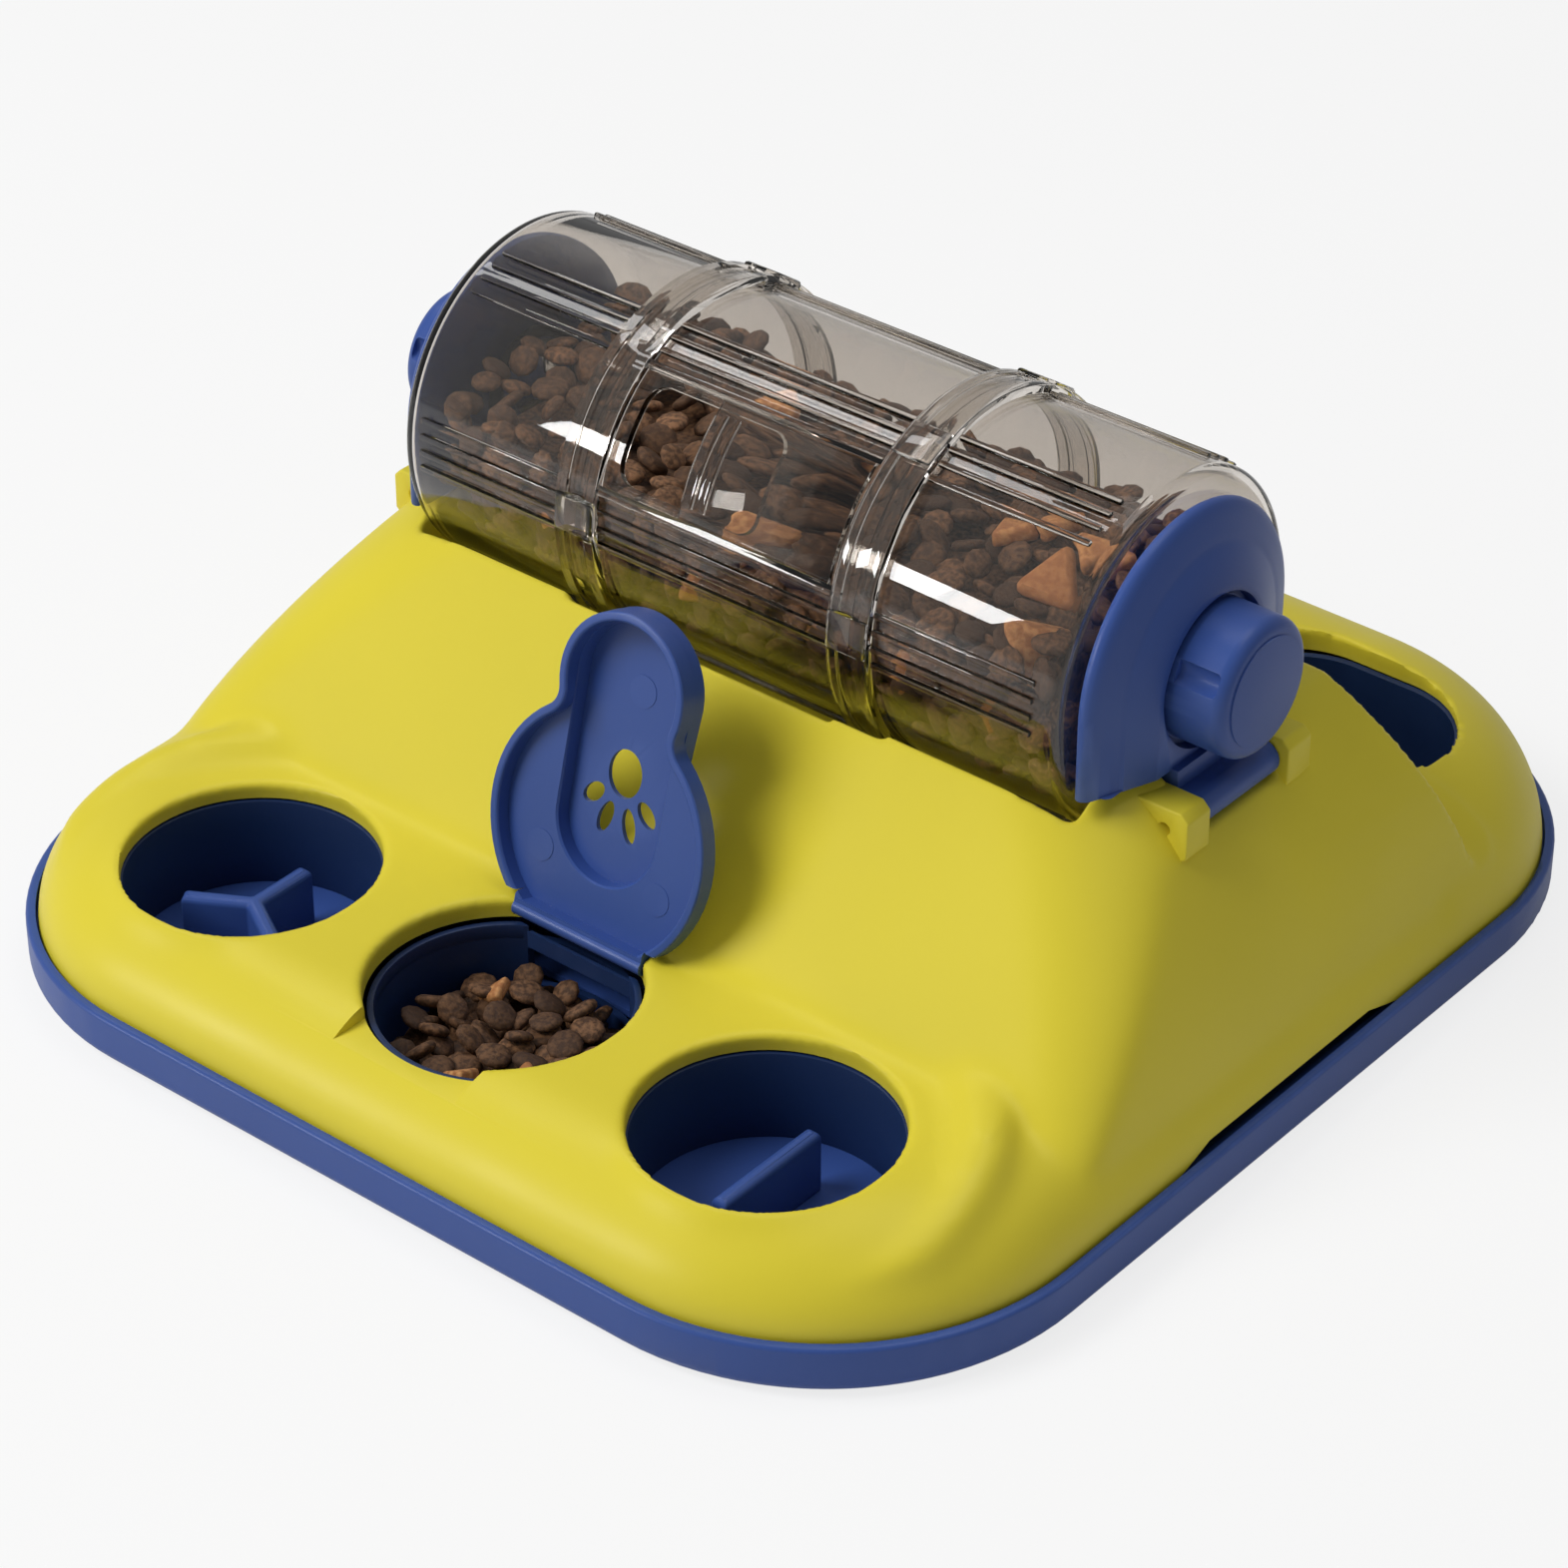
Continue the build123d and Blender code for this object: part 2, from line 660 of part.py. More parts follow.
def make_knob(side):
    """The fluted knob in the bracket's recess, with the spindle and cone that carry the drum."""
    back = bracket_outer_x - recess_depth + knob_back_gap
    knob = bar_x(knob_radius, back, knob_face_x)
    flute_centre = knob_radius + knob_flute_radius - knob_flute_depth
    for flute in range(knob_flutes):
        angle = radians(knob_flute_start + flute * 360 / knob_flutes)
        knob -= bar_x(knob_flute_radius, bracket_outer_x + knob_flute_depth, knob_face_x + cut_over,
                      drum_y - flute_centre * cos(angle), drum_z + flute_centre * sin(angle))
    knob = fillet(knob.faces().sort_by(Axis.X)[-1].edges(), knob_round)
    knob += bar_x(spindle_radius, drum_half, back)
    nose = socket_radius - nose_gap
    nose_length = socket_depth - nose_gap
    knob += cone_x(nose, nose - nose_length, drum_half, drum_half - nose_length)
    return on_side(knob, side)


def make_hinge_pin(side):
    """The pin through the two ears and the bracket's barrel."""
    ear_end = pocket_half + ear_thickness
    return on_side(bar_y(hinge_pin_radius, drum_y - ear_end, drum_y + ear_end, hinge_x, hinge_z), side)


# ------------------------------------------------------------------ lid
def lid_outline(inset):
    """The lid's plan when shut, the hinge at the origin and the lobe towards the front."""
    plan = Pos(0, -lid_body_u) * Circle(lid_body_radius - inset)
    plan += Pos(0, -lid_lobe_u) * Circle(lid_lobe_radius - inset)
    plan = offset(offset(plan, lid_neck_round + inset), -lid_neck_round - inset)
    behind = Rectangle(4 * lid_body_radius, 2 * lid_body_radius)
    plan -= Pos(0, lid_body_radius - inset) * behind
    for side in (-1, 1):
        corner = Rectangle(2 * lid_body_radius, 2 * lid_tongue)
        plan -= Pos(side * (lid_knuckle_half + lid_body_radius - inset), 0) * corner
    return plan


def lid_channel():
    """The sunk keyhole on the lid's underside, from the finger lobe to the vent holes."""
    with BuildSketch() as plan:
        with Locations((0, -lid_lobe_u)):
            Circle(lid_channel_half)
        with Locations((0, -lid_vent_u)):
            Circle(lid_channel_round)
        with Locations((0, -(lid_lobe_u + lid_vent_u) / 2)):
            Rectangle(2 * lid_channel_half, lid_lobe_u - lid_vent_u)
    return plan.sketch


def lid_vents():
    """The vent holes: one large oval and a fan of four small ones."""
    with BuildSketch() as plan:
        with Locations((0, -lid_vent_u - vent_main_offset)):
            Ellipse(vent_main_width / 2, vent_main_length / 2)
        for toe in range(vent_count):
            angle = (toe - (vent_count - 1) / 2) * vent_spread
            a = radians(angle)
            with Locations(Location((vent_fan * sin(a), -lid_vent_u - vent_main_offset + vent_fan * cos(a)),
                                    -angle)):
                Ellipse(vent_small_width / 2, vent_small_length / 2)
    return plan.sketch


def make_lid():
    """The lid, modelled shut about its hinge and then swung open."""
    plate = extrude(lid_outline(0), lid_thickness)
    rim = extrude(lid_outline(0), -lid_rim_height) - extrude(lid_outline(lid_rim), -lid_rim_height)
    lid = plate + rim
    lid += Rot(0, 90, 0) * Cylinder(lid_knuckle_radius, 2 * lid_knuckle_half)
    lid -= extrude(lid_channel(), lid_channel_depth)
    lid -= extrude(lid_vents(), lid_thickness)
    lid -= Rot(0, 90, 0) * Cylinder(lid_pin_radius + pin_fit, 2 * lid_pin_half)
    return Pos(0, lid_hinge_y, lid_hinge_z) * Rot(-(180 - lid_open), 0, 0) * lid


# ------------------------------------------------------------------ food
def make_drum_food():
    """The food that lies in the drum, level on top, as one plain solid."""
    reach = drum_half - hub_depth - drum_food_gap
    radius = drum_inner - drum_food_gap
    level = drum_z + drum_food_level
    bed = bar_x(radius, -reach, reach)
    return bed & box_between(-reach, reach, drum_y - radius, drum_y + radius, drum_z - radius, level)


def make_well_food():
    """The food in the middle cup, as one plain heap."""
    radius = lid_well_radius - cup_inset - drum_food_gap
    heap = disc(radius, floor_top, floor_top + well_food_height, 0, lid_well_y)
    return fillet(heap.faces().sort_by(Axis.Z)[-1].edges(), well_food_height / 2)


def make_all():
    os.makedirs("parts", exist_ok=True)
    save(make_tray(), "base_tray")
    for number, (x, y) in enumerate(foot_places(), 1):
        save(make_foot(x, y), f"rubber_foot_{number}")
    save(make_star_baffle(), "star_baffle")
    save(make_fin_baffle(), "fin_baffle")
    save(make_feed_ramp(), "feed_ramp")
    for kind, side, deck in wells():
        word = "right" if side > 0 else "left"
        save(make_cup(kind, side, deck), "cup_middle" if kind == "lid" else f"cup_{kind}_{word}")
    save(make_cover(), "top_cover")
    save(make_drum_middle(), "drum_middle")
    save(make_feed_door(), "feed_door")
    for side, word in ((-1, "left"), (1, "right")):
        save(make_drum_end(side), f"drum_end_{word}")
        save(make_band(side), f"drum_band_{word}")
        save(make_hub(side), f"drum_hub_{word}")
        save(make_bracket(side), f"end_bracket_{word}")
        save(make_knob(side), f"lock_knob_{word}")
        save(make_hinge_pin(side), f"bracket_pin_{word}")
    save(make_lid(), "well_lid")
    save(lid_hinge_bar(lid_pin_radius, lid_pin_half), "lid_pin")
    save(make_drum_food(), "drum_food")
    save(make_well_food(), "well_food")


make_all()
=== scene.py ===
import random
from math import asin, atan2, cos, hypot, pi, radians, sin, tau

import bmesh
import bpy
from mathutils import Matrix, Vector, noise


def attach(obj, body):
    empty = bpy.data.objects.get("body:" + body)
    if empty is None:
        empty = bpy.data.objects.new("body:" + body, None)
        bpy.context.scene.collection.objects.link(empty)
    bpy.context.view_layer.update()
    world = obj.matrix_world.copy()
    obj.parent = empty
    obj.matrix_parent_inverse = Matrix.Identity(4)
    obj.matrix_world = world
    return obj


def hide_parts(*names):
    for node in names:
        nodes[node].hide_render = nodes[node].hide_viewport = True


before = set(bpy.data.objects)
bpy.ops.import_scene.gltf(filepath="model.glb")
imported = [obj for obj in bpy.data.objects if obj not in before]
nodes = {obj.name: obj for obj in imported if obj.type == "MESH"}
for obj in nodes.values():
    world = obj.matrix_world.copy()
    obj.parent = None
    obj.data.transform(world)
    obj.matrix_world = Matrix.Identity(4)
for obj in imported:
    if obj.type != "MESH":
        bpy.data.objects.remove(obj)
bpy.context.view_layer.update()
scene = bpy.context.scene


# Camera, lamps and floor.
# A long lens looks down on the right front corner. A broad soft lamp stands over the left front, with weaker
# ones at the right and overhead, and two small ones show only as highlights along the drum.
lens_mm, camera_place, tilted_down, turned_left = 112.96, (0.6740, -0.8184, 0.7473), 33.88, 39.68
camera_data = bpy.data.cameras.new("studio_camera")
camera_data.lens = lens_mm
camera_data.sensor_width = 36.0
camera_data.clip_end = 30.0
camera = bpy.data.objects.new("studio_camera", camera_data)
camera.location = camera_place
camera.rotation_euler = (radians(90 - tilted_down), 0, radians(turned_left))
scene.collection.objects.link(camera)
scene.camera = camera
scene.view_settings.view_transform = "Standard"


def softbox(name, place, aim, size, power, mirrored=True, lighting=True):
    """A rectangular lamp aimed at one point, that may stay out of reflections or leave surfaces unlit."""
    lamp_data = bpy.data.lights.new(name, "AREA")
    lamp_data.shape = "RECTANGLE"
    lamp_data.size, lamp_data.size_y = size
    lamp_data.energy = power
    lamp = bpy.data.objects.new(name, lamp_data)
    lamp.location = place
    lamp.rotation_euler = (Vector(aim) - Vector(place)).to_track_quat("-Z", "Y").to_euler()
    lamp.visible_glossy = lamp.visible_transmission = mirrored
    lamp.visible_diffuse = lighting
    scene.collection.objects.link(lamp)


feeder_middle = (0, 0, 0.05)
softbox("key_softbox", (-1.0, -1.3, 1.8), feeder_middle, (1.2, 1.2), 40, mirrored=False)
softbox("fill_softbox", (1.9, -0.5, 1.1), feeder_middle, (1.2, 1.2), 1.5, mirrored=False)
softbox("top_softbox", (0.1, 0.5, 2.2), feeder_middle, (1.6, 1.0), 9)
softbox("rib_softbox", (-0.96, 0.09, 1.57), (0, 0.014, 0.13), (0.30, 0.56), 3.4, lighting=False)
softbox("streak_softbox", (-0.78, -1.25, 0.53), (0.03, -0.03, 0.13), (0.42, 0.24), 6.5, lighting=False)


def white_share(tree, direct, mirrored):
    """How much plain white a ray meets: straight on or through clear plastic, and in reflections."""
    put, join = tree.nodes.new, tree.links.new
    ray = put("ShaderNodeLightPath")
    seen = put("ShaderNodeMath")
    seen.operation = "MAXIMUM"
    dimmed = put("ShaderNodeMath")
    dimmed.operation = "MULTIPLY"
    dimmed.inputs[1].default_value = direct
    share = put("ShaderNodeMath")
    share.operation = "MULTIPLY_ADD"
    share.use_clamp = True
    share.inputs[1].default_value = mirrored
    join(ray.outputs["Is Camera Ray"], seen.inputs[0])
    join(ray.outputs["Is Transmission Ray"], seen.inputs[1])
    join(seen.outputs[0], dimmed.inputs[0])
    join(ray.outputs["Is Glossy Ray"], share.inputs[0])
    join(dimmed.outputs[0], share.inputs[2])
    return share.outputs[0]


world = bpy.data.worlds.new("studio_room")
world.use_nodes = True
scene.world = world
room = world.node_tree
for item in list(room.nodes):
    room.nodes.remove(item)
room_out = room.nodes.new("ShaderNodeOutputWorld")
room_dim = room.nodes.new("ShaderNodeBackground")
room_dim.inputs["Strength"].default_value = 0.17
room_white = room.nodes.new("ShaderNodeBackground")
room_white.inputs["Strength"].default_value = 1.0
room_mix = room.nodes.new("ShaderNodeMixShader")
room.links.new(white_share(room, direct=1.0, mirrored=0.35), room_mix.inputs["Fac"])
room.links.new(room_dim.outputs[0], room_mix.inputs[1])
room.links.new(room_white.outputs[0], room_mix.inputs[2])
room.links.new(room_mix.outputs[0], room_out.inputs["Surface"])

bpy.ops.object.select_all(action="DESELECT")
bpy.ops.mesh.primitive_plane_add(size=12, location=(0, 0, -0.0002))  # just clear of the feet
floor = bpy.context.object
floor.name = "studio_floor"
floor_paint = bpy.data.materials.new("studio_floor_white")
floor_paint.use_nodes = True
paint = floor_paint.node_tree
for item in list(paint.nodes):
    paint.nodes.remove(item)
paint_out = paint.nodes.new("ShaderNodeOutputMaterial")
paint_matt = paint.nodes.new("ShaderNodeBsdfDiffuse")
paint_matt.inputs["Color"].default_value = (0.86, 0.86, 0.86, 1)
paint_glow = paint.nodes.new("ShaderNodeEmission")
paint_glow.inputs["Strength"].default_value = 1.0
paint_mix = paint.nodes.new("ShaderNodeMixShader")
paint.links.new(white_share(paint, direct=0.80, mirrored=0.15), paint_mix.inputs["Fac"])
paint.links.new(paint_matt.outputs[0], paint_mix.inputs[1])
paint.links.new(paint_glow.outputs[0], paint_mix.inputs[2])
paint.links.new(paint_mix.outputs[0], paint_out.inputs["Surface"])
floor.data.materials.append(floor_paint)


# Tray, cups and feed ramp.
# One injection-moulded tray of satin blue plastic, with the cups and the ramp standing on its floor. The
# front cups' insides take a darker copy of the blue, as painted shade. The rim's top edge is eased, and the
# moulding has a fine grain with faint mottling and paler, rubbed edges.
def moulded_skin():
    """Node group: the fine grain, mottling and rubbed edges that all the moulded plastics share."""
    group = bpy.data.node_groups.new("moulded_skin", "ShaderNodeTree")
    face = group.interface
    face.new_socket(name="Colour", in_out="INPUT", socket_type="NodeSocketColor")
    face.new_socket(name="Rubbed Colour", in_out="INPUT", socket_type="NodeSocketColor")
    face.new_socket(name="Mottle", in_out="INPUT", socket_type="NodeSocketFloat")
    face.new_socket(name="Rub", in_out="INPUT", socket_type="NodeSocketFloat")
    face.new_socket(name="Gloss", in_out="INPUT", socket_type="NodeSocketFloat")
    face.new_socket(name="Colour", in_out="OUTPUT", socket_type="NodeSocketColor")
    face.new_socket(name="Roughness", in_out="OUTPUT", socket_type="NodeSocketFloat")
    face.new_socket(name="Height", in_out="OUTPUT", socket_type="NodeSocketFloat")
    put, join = group.nodes.new, group.links.new
    given = put("NodeGroupInput")
    result = put("NodeGroupOutput")
    place = put("ShaderNodeTexCoord")

    def cloud(scale, detail):
        noise_node = put("ShaderNodeTexNoise")
        noise_node.inputs["Scale"].default_value = scale
        noise_node.inputs["Detail"].default_value = detail
        join(place.outputs["Object"], noise_node.inputs["Vector"])
        return noise_node.outputs["Fac"]

    def spread(source, low, high, to_low, to_high):
        ramp = put("ShaderNodeMapRange")
        ramp.inputs["From Min"].default_value = low
        ramp.inputs["From Max"].default_value = high
        ramp.inputs["To Min"].default_value = to_low
        ramp.inputs["To Max"].default_value = to_high
        join(source, ramp.inputs["Value"])
        return ramp.outputs["Result"]

    def times(a, b):
        product = put("ShaderNodeMath")
        product.operation = "MULTIPLY"
        join(a, product.inputs[0])
        join(b, product.inputs[1])
        return product.outputs[0]

    broad = spread(cloud(9.0, 2.0), 0.3, 0.7, -0.5, 0.5)
    fine = cloud(2600.0, 1.0)
    curve = put("ShaderNodeNewGeometry")
    edge = spread(curve.outputs["Pointiness"], 0.53, 0.60, 0.0, 1.0)
    rub = times(times(edge, spread(cloud(70.0, 3.0), 0.35, 0.65, 0.2, 1.0)), given.outputs["Rub"])
    tone = put("ShaderNodeHueSaturation")
    shift = put("ShaderNodeMath")
    shift.operation = "MULTIPLY_ADD"
    shift.inputs[2].default_value = 1.0
    join(broad, shift.inputs[0])
    join(given.outputs["Mottle"], shift.inputs[1])
    join(shift.outputs[0], tone.inputs["Value"])
    join(given.outputs["Colour"], tone.inputs["Color"])
    mix = put("ShaderNodeMix")
    mix.data_type = "RGBA"
    join(rub, mix.inputs["Factor"])
    join(tone.outputs["Color"], mix.inputs[6])
    join(given.outputs["Rubbed Colour"], mix.inputs[7])
    join(mix.outputs[2], result.inputs["Colour"])
    patchy = put("ShaderNodeMath")
    patchy.operation = "ADD"
    join(given.outputs["Gloss"], patchy.inputs[0])
    join(spread(cloud(24.0, 4.0), 0.3, 0.7, -0.04, 0.05), patchy.inputs[1])
    join(patchy.outputs[0], result.inputs["Roughness"])
    join(fine, result.inputs["Height"])
    return group


skin_group = moulded_skin()


def moulded_plastic(name, colour, rubbed, mottle, rub, gloss, grain, soft=0.0):
    """A satin plastic: the skin group feeds colour, roughness and a fine bump."""
    material = bpy.data.materials.new(name)
    material.use_nodes = True
    tree = material.node_tree
    shader = tree.nodes["Principled BSDF"]
    skin = tree.nodes.new("ShaderNodeGroup")
    skin.node_tree = skin_group
    skin.inputs["Colour"].default_value = (*colour, 1)
    skin.inputs["Rubbed Colour"].default_value = (*rubbed, 1)
    skin.inputs["Mottle"].default_value = mottle
    skin.inputs["Rub"].default_value = rub
    skin.inputs["Gloss"].default_value = gloss
    bump = tree.nodes.new("ShaderNodeBump")
    bump.inputs["Strength"].default_value = grain
    bump.inputs["Distance"].default_value = 0.0001
    tree.links.new(skin.outputs["Colour"], shader.inputs["Base Color"])
    tree.links.new(skin.outputs["Roughness"], shader.inputs["Roughness"])
    tree.links.new(skin.outputs["Height"], bump.inputs["Height"])
    tree.links.new(bump.outputs["Normal"], shader.inputs["Normal"])
    shader.inputs["Specular IOR Level"].default_value = 0.35
    if soft:
        shader.inputs["Subsurface Weight"].default_value = soft
        shader.inputs["Subsurface Radius"].default_value = (0.004, 0.003, 0.001)
        shader.inputs["Subsurface Scale"].default_value = 1.0
    return material


blue_plastic = moulded_plastic("blue_satin_plastic", (0.042, 0.092, 0.330), (0.12, 0.20, 0.55),
                               mottle=0.12, rub=0.35, gloss=0.36, grain=0.25)
# The same blue plastic made darker for the cups: painted shade for the deep shade inside them, not a darker
# dye.
painted_shade_blue_plastic = moulded_plastic("blue_satin_plastic_painted_shade", (0.012, 0.030, 0.100),
                                    (0.04, 0.08, 0.22), mottle=0.12, rub=0.25, gloss=0.40, grain=0.25)


def dress(piece, material, slot, body, *replaced):
    """One material on the whole piece, its body, and the CAD nodes that it stands for. The slot is not used.
    """
    piece.data.materials.clear()
    piece.data.materials.append(material)
    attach(piece, body)
    if replaced:
        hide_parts(*replaced)


def eased_copy(node, name, width, flat=1.0, segments=2):
    """A copy of a CAD node with its triangles merged and its sharp edges eased."""
    bpy.ops.object.select_all(action="DESELECT")
    piece = nodes[node].copy()
    piece.data = nodes[node].data.copy()
    piece.parent = None
    for key in list(piece.keys()):
        del piece[key]
    piece.name = name
    scene.collection.objects.link(piece)
    piece.select_set(True)
    bpy.context.view_layer.objects.active = piece
    bpy.ops.object.mode_set(mode="EDIT")
    bpy.ops.mesh.select_all(action="SELECT")
    bpy.ops.mesh.remove_doubles(threshold=0.000002)
    bpy.ops.mesh.dissolve_limited(angle_limit=radians(flat))
    bpy.ops.object.mode_set(mode="OBJECT")
    if width:
        ease = piece.modifiers.new("eased_edges", "BEVEL")
        ease.width = width
        ease.segments = segments
        ease.limit_method = "ANGLE"
        ease.angle_limit = radians(32)
        ease.use_clamp_overlap = True
        bpy.ops.object.modifier_apply(modifier=ease.name)
    bpy.ops.object.shade_smooth_by_angle(angle=radians(32))
    return piece


dress(eased_copy("base_tray", "tray_moulding", 0.0), blue_plastic, "blue_plastic", "tray", "base_tray")
for node in sorted(nodes):
    if node.startswith("cup_front"):
        # The front cups take the darker blue, which is painted shade for their insides.
        cup = eased_copy(node, node.replace("cup", "food_cup"), 0.0005)
        dress(cup, painted_shade_blue_plastic, "blue_plastic", "tray", node)
dress(eased_copy("feed_ramp", "ramp_moulding", 0.0), blue_plastic, "blue_plastic", "tray", "feed_ramp")
for node in ("star_baffle", "fin_baffle"):
    baffle = eased_copy(node, f"{node}_moulding", 0.0007, segments=3)
    dress(baffle, blue_plastic, "blue_plastic", "tray", node)


# Cover.
# One yellow injection-moulded shell that drops over the tray: a low domed front deck, a hump with a trough
# for the drum, and a higher back deck. It is blended all over, hollow, and its openings have short skirts.
axle_y, axle_z, band_middle = 0.014, 0.1116, 0.0440
deck_top, back_deck_top, hump_top = 0.0362, 0.0527, 0.0902
hump_foot, cover_foot, skirt = 0.018, 0.0112, 0.0046
cover_half_x, cover_half_y, cover_corner = 0.157, 0.165, 0.072
back_brow, back_drop, back_deck_start = 0.048, 0.0415, 0.074
hump_half_foot, hump_half_top, hump_back_half_top = 0.1526, 0.116, 0.120
hump_front_top, hump_front_slope, hump_back_foot, hump_back_lean = -0.0275, 0.93, 0.092, 0.032
hump_back_corner, hump_front_corner_foot, hump_front_corner_top = 0.004, 0.012, 0.034
hump_lap, flare_start = 0.010, 0.008
front_well_x, front_well_y, front_well_radius = 0.0852, -0.115, 0.0334
middle_well_y, middle_well_radius, middle_well_back = -0.1135, 0.0347, -0.0850
rear_well_x, rear_well_y, rear_skirt = 0.095, 0.101, 0.0458
trough, band_trough, window_trough, trough_half, band_trough_half = 0.0498, 0.0513, 0.0523, 0.107, 0.0076
beyond = 0.2


def select_only(piece):
    """Leaves one piece selected and active."""
    bpy.ops.object.select_all(action="DESELECT")
    piece.select_set(True)
    bpy.context.view_layer.objects.active = piece


def apply_modifier(piece, kind, **values):
    """Adds one modifier with its values and applies it."""
    select_only(piece)
    modifier = piece.modifiers.new(kind.lower(), kind)
    for key, value in values.items():
        setattr(modifier, key, value)
    bpy.ops.object.modifier_apply(modifier=modifier.name)


def join_pieces(pieces, name):
    """Joins several pieces into the first."""
    bpy.ops.object.select_all(action="DESELECT")
    for piece in pieces:
        piece.select_set(True)
    bpy.context.view_layer.objects.active = pieces[0]
    if len(pieces) > 1:
        bpy.ops.object.join()
    pieces[0].name = name
    return pieces[0]


def settled(piece):
    """Puts a piece's place and turn into its mesh."""
    select_only(piece)
    bpy.ops.object.transform_apply(location=True, rotation=True, scale=True)
    return piece


def round_edges(piece, choose, width, steps):
    """Rounds the edges that the test picks, in edit mode."""
    select_only(piece)
    bpy.ops.object.mode_set(mode="EDIT")
    bpy.ops.mesh.select_mode(type="EDGE")
    bpy.ops.mesh.select_all(action="DESELECT")
    shape = bmesh.from_edit_mesh(piece.data)
    for edge in shape.edges:
        edge.select_set(choose(*edge.verts))
    bpy.ops.mesh.bevel(offset=width, segments=steps, affect="EDGES")
    bpy.ops.object.mode_set(mode="OBJECT")


def rounded_slab(half_x, half_y, corner, bottom, top, brow=0.0, drop=0.0, x=0.0, y=0.0):
    """A block with rounded upright corners and, where asked, a top edge rounded brow in and drop down."""
    stretch = brow / drop if drop else 1.0
    tall = bottom + (top - bottom) * stretch
    bpy.ops.object.select_all(action="DESELECT")
    bpy.ops.mesh.primitive_cube_add(size=1, location=(x, y, (bottom + tall) / 2),
                                    scale=(2 * half_x, 2 * half_y, tall - bottom))
    slab = settled(bpy.context.object)
    if corner:
        round_edges(slab, lambda a, b: abs(a.co.z - b.co.z) > 0.5 * (tall - bottom), corner, 20)
    if brow:
        round_edges(slab, lambda a, b: min(a.co.z, b.co.z) > tall - 1e-5, brow, 14)
        for vertex in slab.data.vertices:
            vertex.co.z = bottom + (vertex.co.z - bottom) / stretch
    return slab


def upright_disc(radius, bottom, top, x, y, sides=96):
    """A plain upright cylinder, as a cutter."""
    bpy.ops.object.select_all(action="DESELECT")
    bpy.ops.mesh.primitive_cylinder_add(vertices=sides, radius=radius, depth=top - bottom,
                                        location=(x, y, (bottom + top) / 2))
    return settled(bpy.context.object)


def axle_drum(radius, start, end, sides=128):
    """A plain cylinder along the drum's axle, from either end."""
    bpy.ops.object.select_all(action="DESELECT")
    bpy.ops.mesh.primitive_cylinder_add(vertices=sides, radius=radius, depth=abs(end - start),
                                        location=((start + end) / 2, axle_y, axle_z), rotation=(0, pi / 2, 0))
    return settled(bpy.context.object)


def block(x0, x1, y0, y1, z0, z1):
    """A plain box between two corners, as a cutter."""
    return rounded_slab(abs(x1 - x0) / 2, (y1 - y0) / 2, 0.0, z0, z1, x=(x0 + x1) / 2, y=(y0 + y1) / 2)


def cut_away(piece, cutters):
    """Cuts each cutter out of the piece and throws it away."""
    for cutter in cutters:
        apply_modifier(piece, "BOOLEAN", operation="DIFFERENCE", solver="EXACT", object=cutter)
        bpy.data.objects.remove(cutter)


def hump_back(z):
    """How far back the hump reaches at one level."""
    return hump_back_foot - hump_back_lean * (max(z, hump_foot) - hump_foot) / (hump_top - hump_foot)


def hump_outline(share, z, steps=17):
    """The hump's outline at one level, round its four corners, its flanks flared towards the back."""
    half = hump_half_foot + (hump_half_top - hump_half_foot) * share ** 1.7
    flared = hump_half_foot + (hump_back_half_top - hump_half_foot) * share ** 2.9
    front = hump_front_top - (hump_top - max(z, hump_foot)) * hump_front_slope
    back = hump_back(z) + hump_lap
    front_corner = hump_front_corner_foot + (hump_front_corner_top - hump_front_corner_foot) * share ** 1.3
    for quarter in range(4):
        side = 1 if quarter in (0, 3) else -1
        corner = hump_back_corner if quarter in (0, 1) else front_corner
        middle_x = side * ((flared if quarter in (0, 1) else half) - corner)
        middle_y = back - corner if quarter in (0, 1) else front + corner
        for step in range(steps):
            angle = (quarter + step / (steps - 1)) * pi / 2
            yield Vector((middle_x + corner * cos(angle), middle_y + corner * sin(angle), z))
        if quarter in (1, 3):
            yield Vector((side * half, axle_y + flare_start, z))


def ringed_form(rings):
    """A cylinder cut into rings, each drawn to its own outline of as many points."""
    sides, levels = len(rings[0]), len(rings) - 1
    nudge = 0.3  # keeps a point that lies on a step of the turn out of the step below
    bpy.ops.object.select_all(action="DESELECT")
    bpy.ops.mesh.primitive_cylinder_add(vertices=sides, radius=1, depth=1, location=(0, 0, 0))
    form = bpy.context.object
    bpy.ops.object.mode_set(mode="EDIT")
    bpy.ops.mesh.select_mode(type="EDGE")
    bpy.ops.mesh.select_all(action="DESELECT")
    shape = bmesh.from_edit_mesh(form.data)
    for edge in shape.edges:
        a, b = edge.verts
        edge.select_set(abs(a.co.z - b.co.z) > 0.5)
    bpy.ops.mesh.subdivide(number_cuts=levels - 1)
    shape = bmesh.from_edit_mesh(form.data)
    for vertex in shape.verts:
        level = round((vertex.co.z + 0.5) * levels)
        turn = int(atan2(vertex.co.y, vertex.co.x) % tau / tau * sides + nudge) % sides
        vertex.co = rings[level][turn]
    bpy.ops.mesh.select_all(action="SELECT")
    bpy.ops.mesh.normals_make_consistent(inside=False)
    bpy.ops.object.mode_set(mode="OBJECT")
    return form


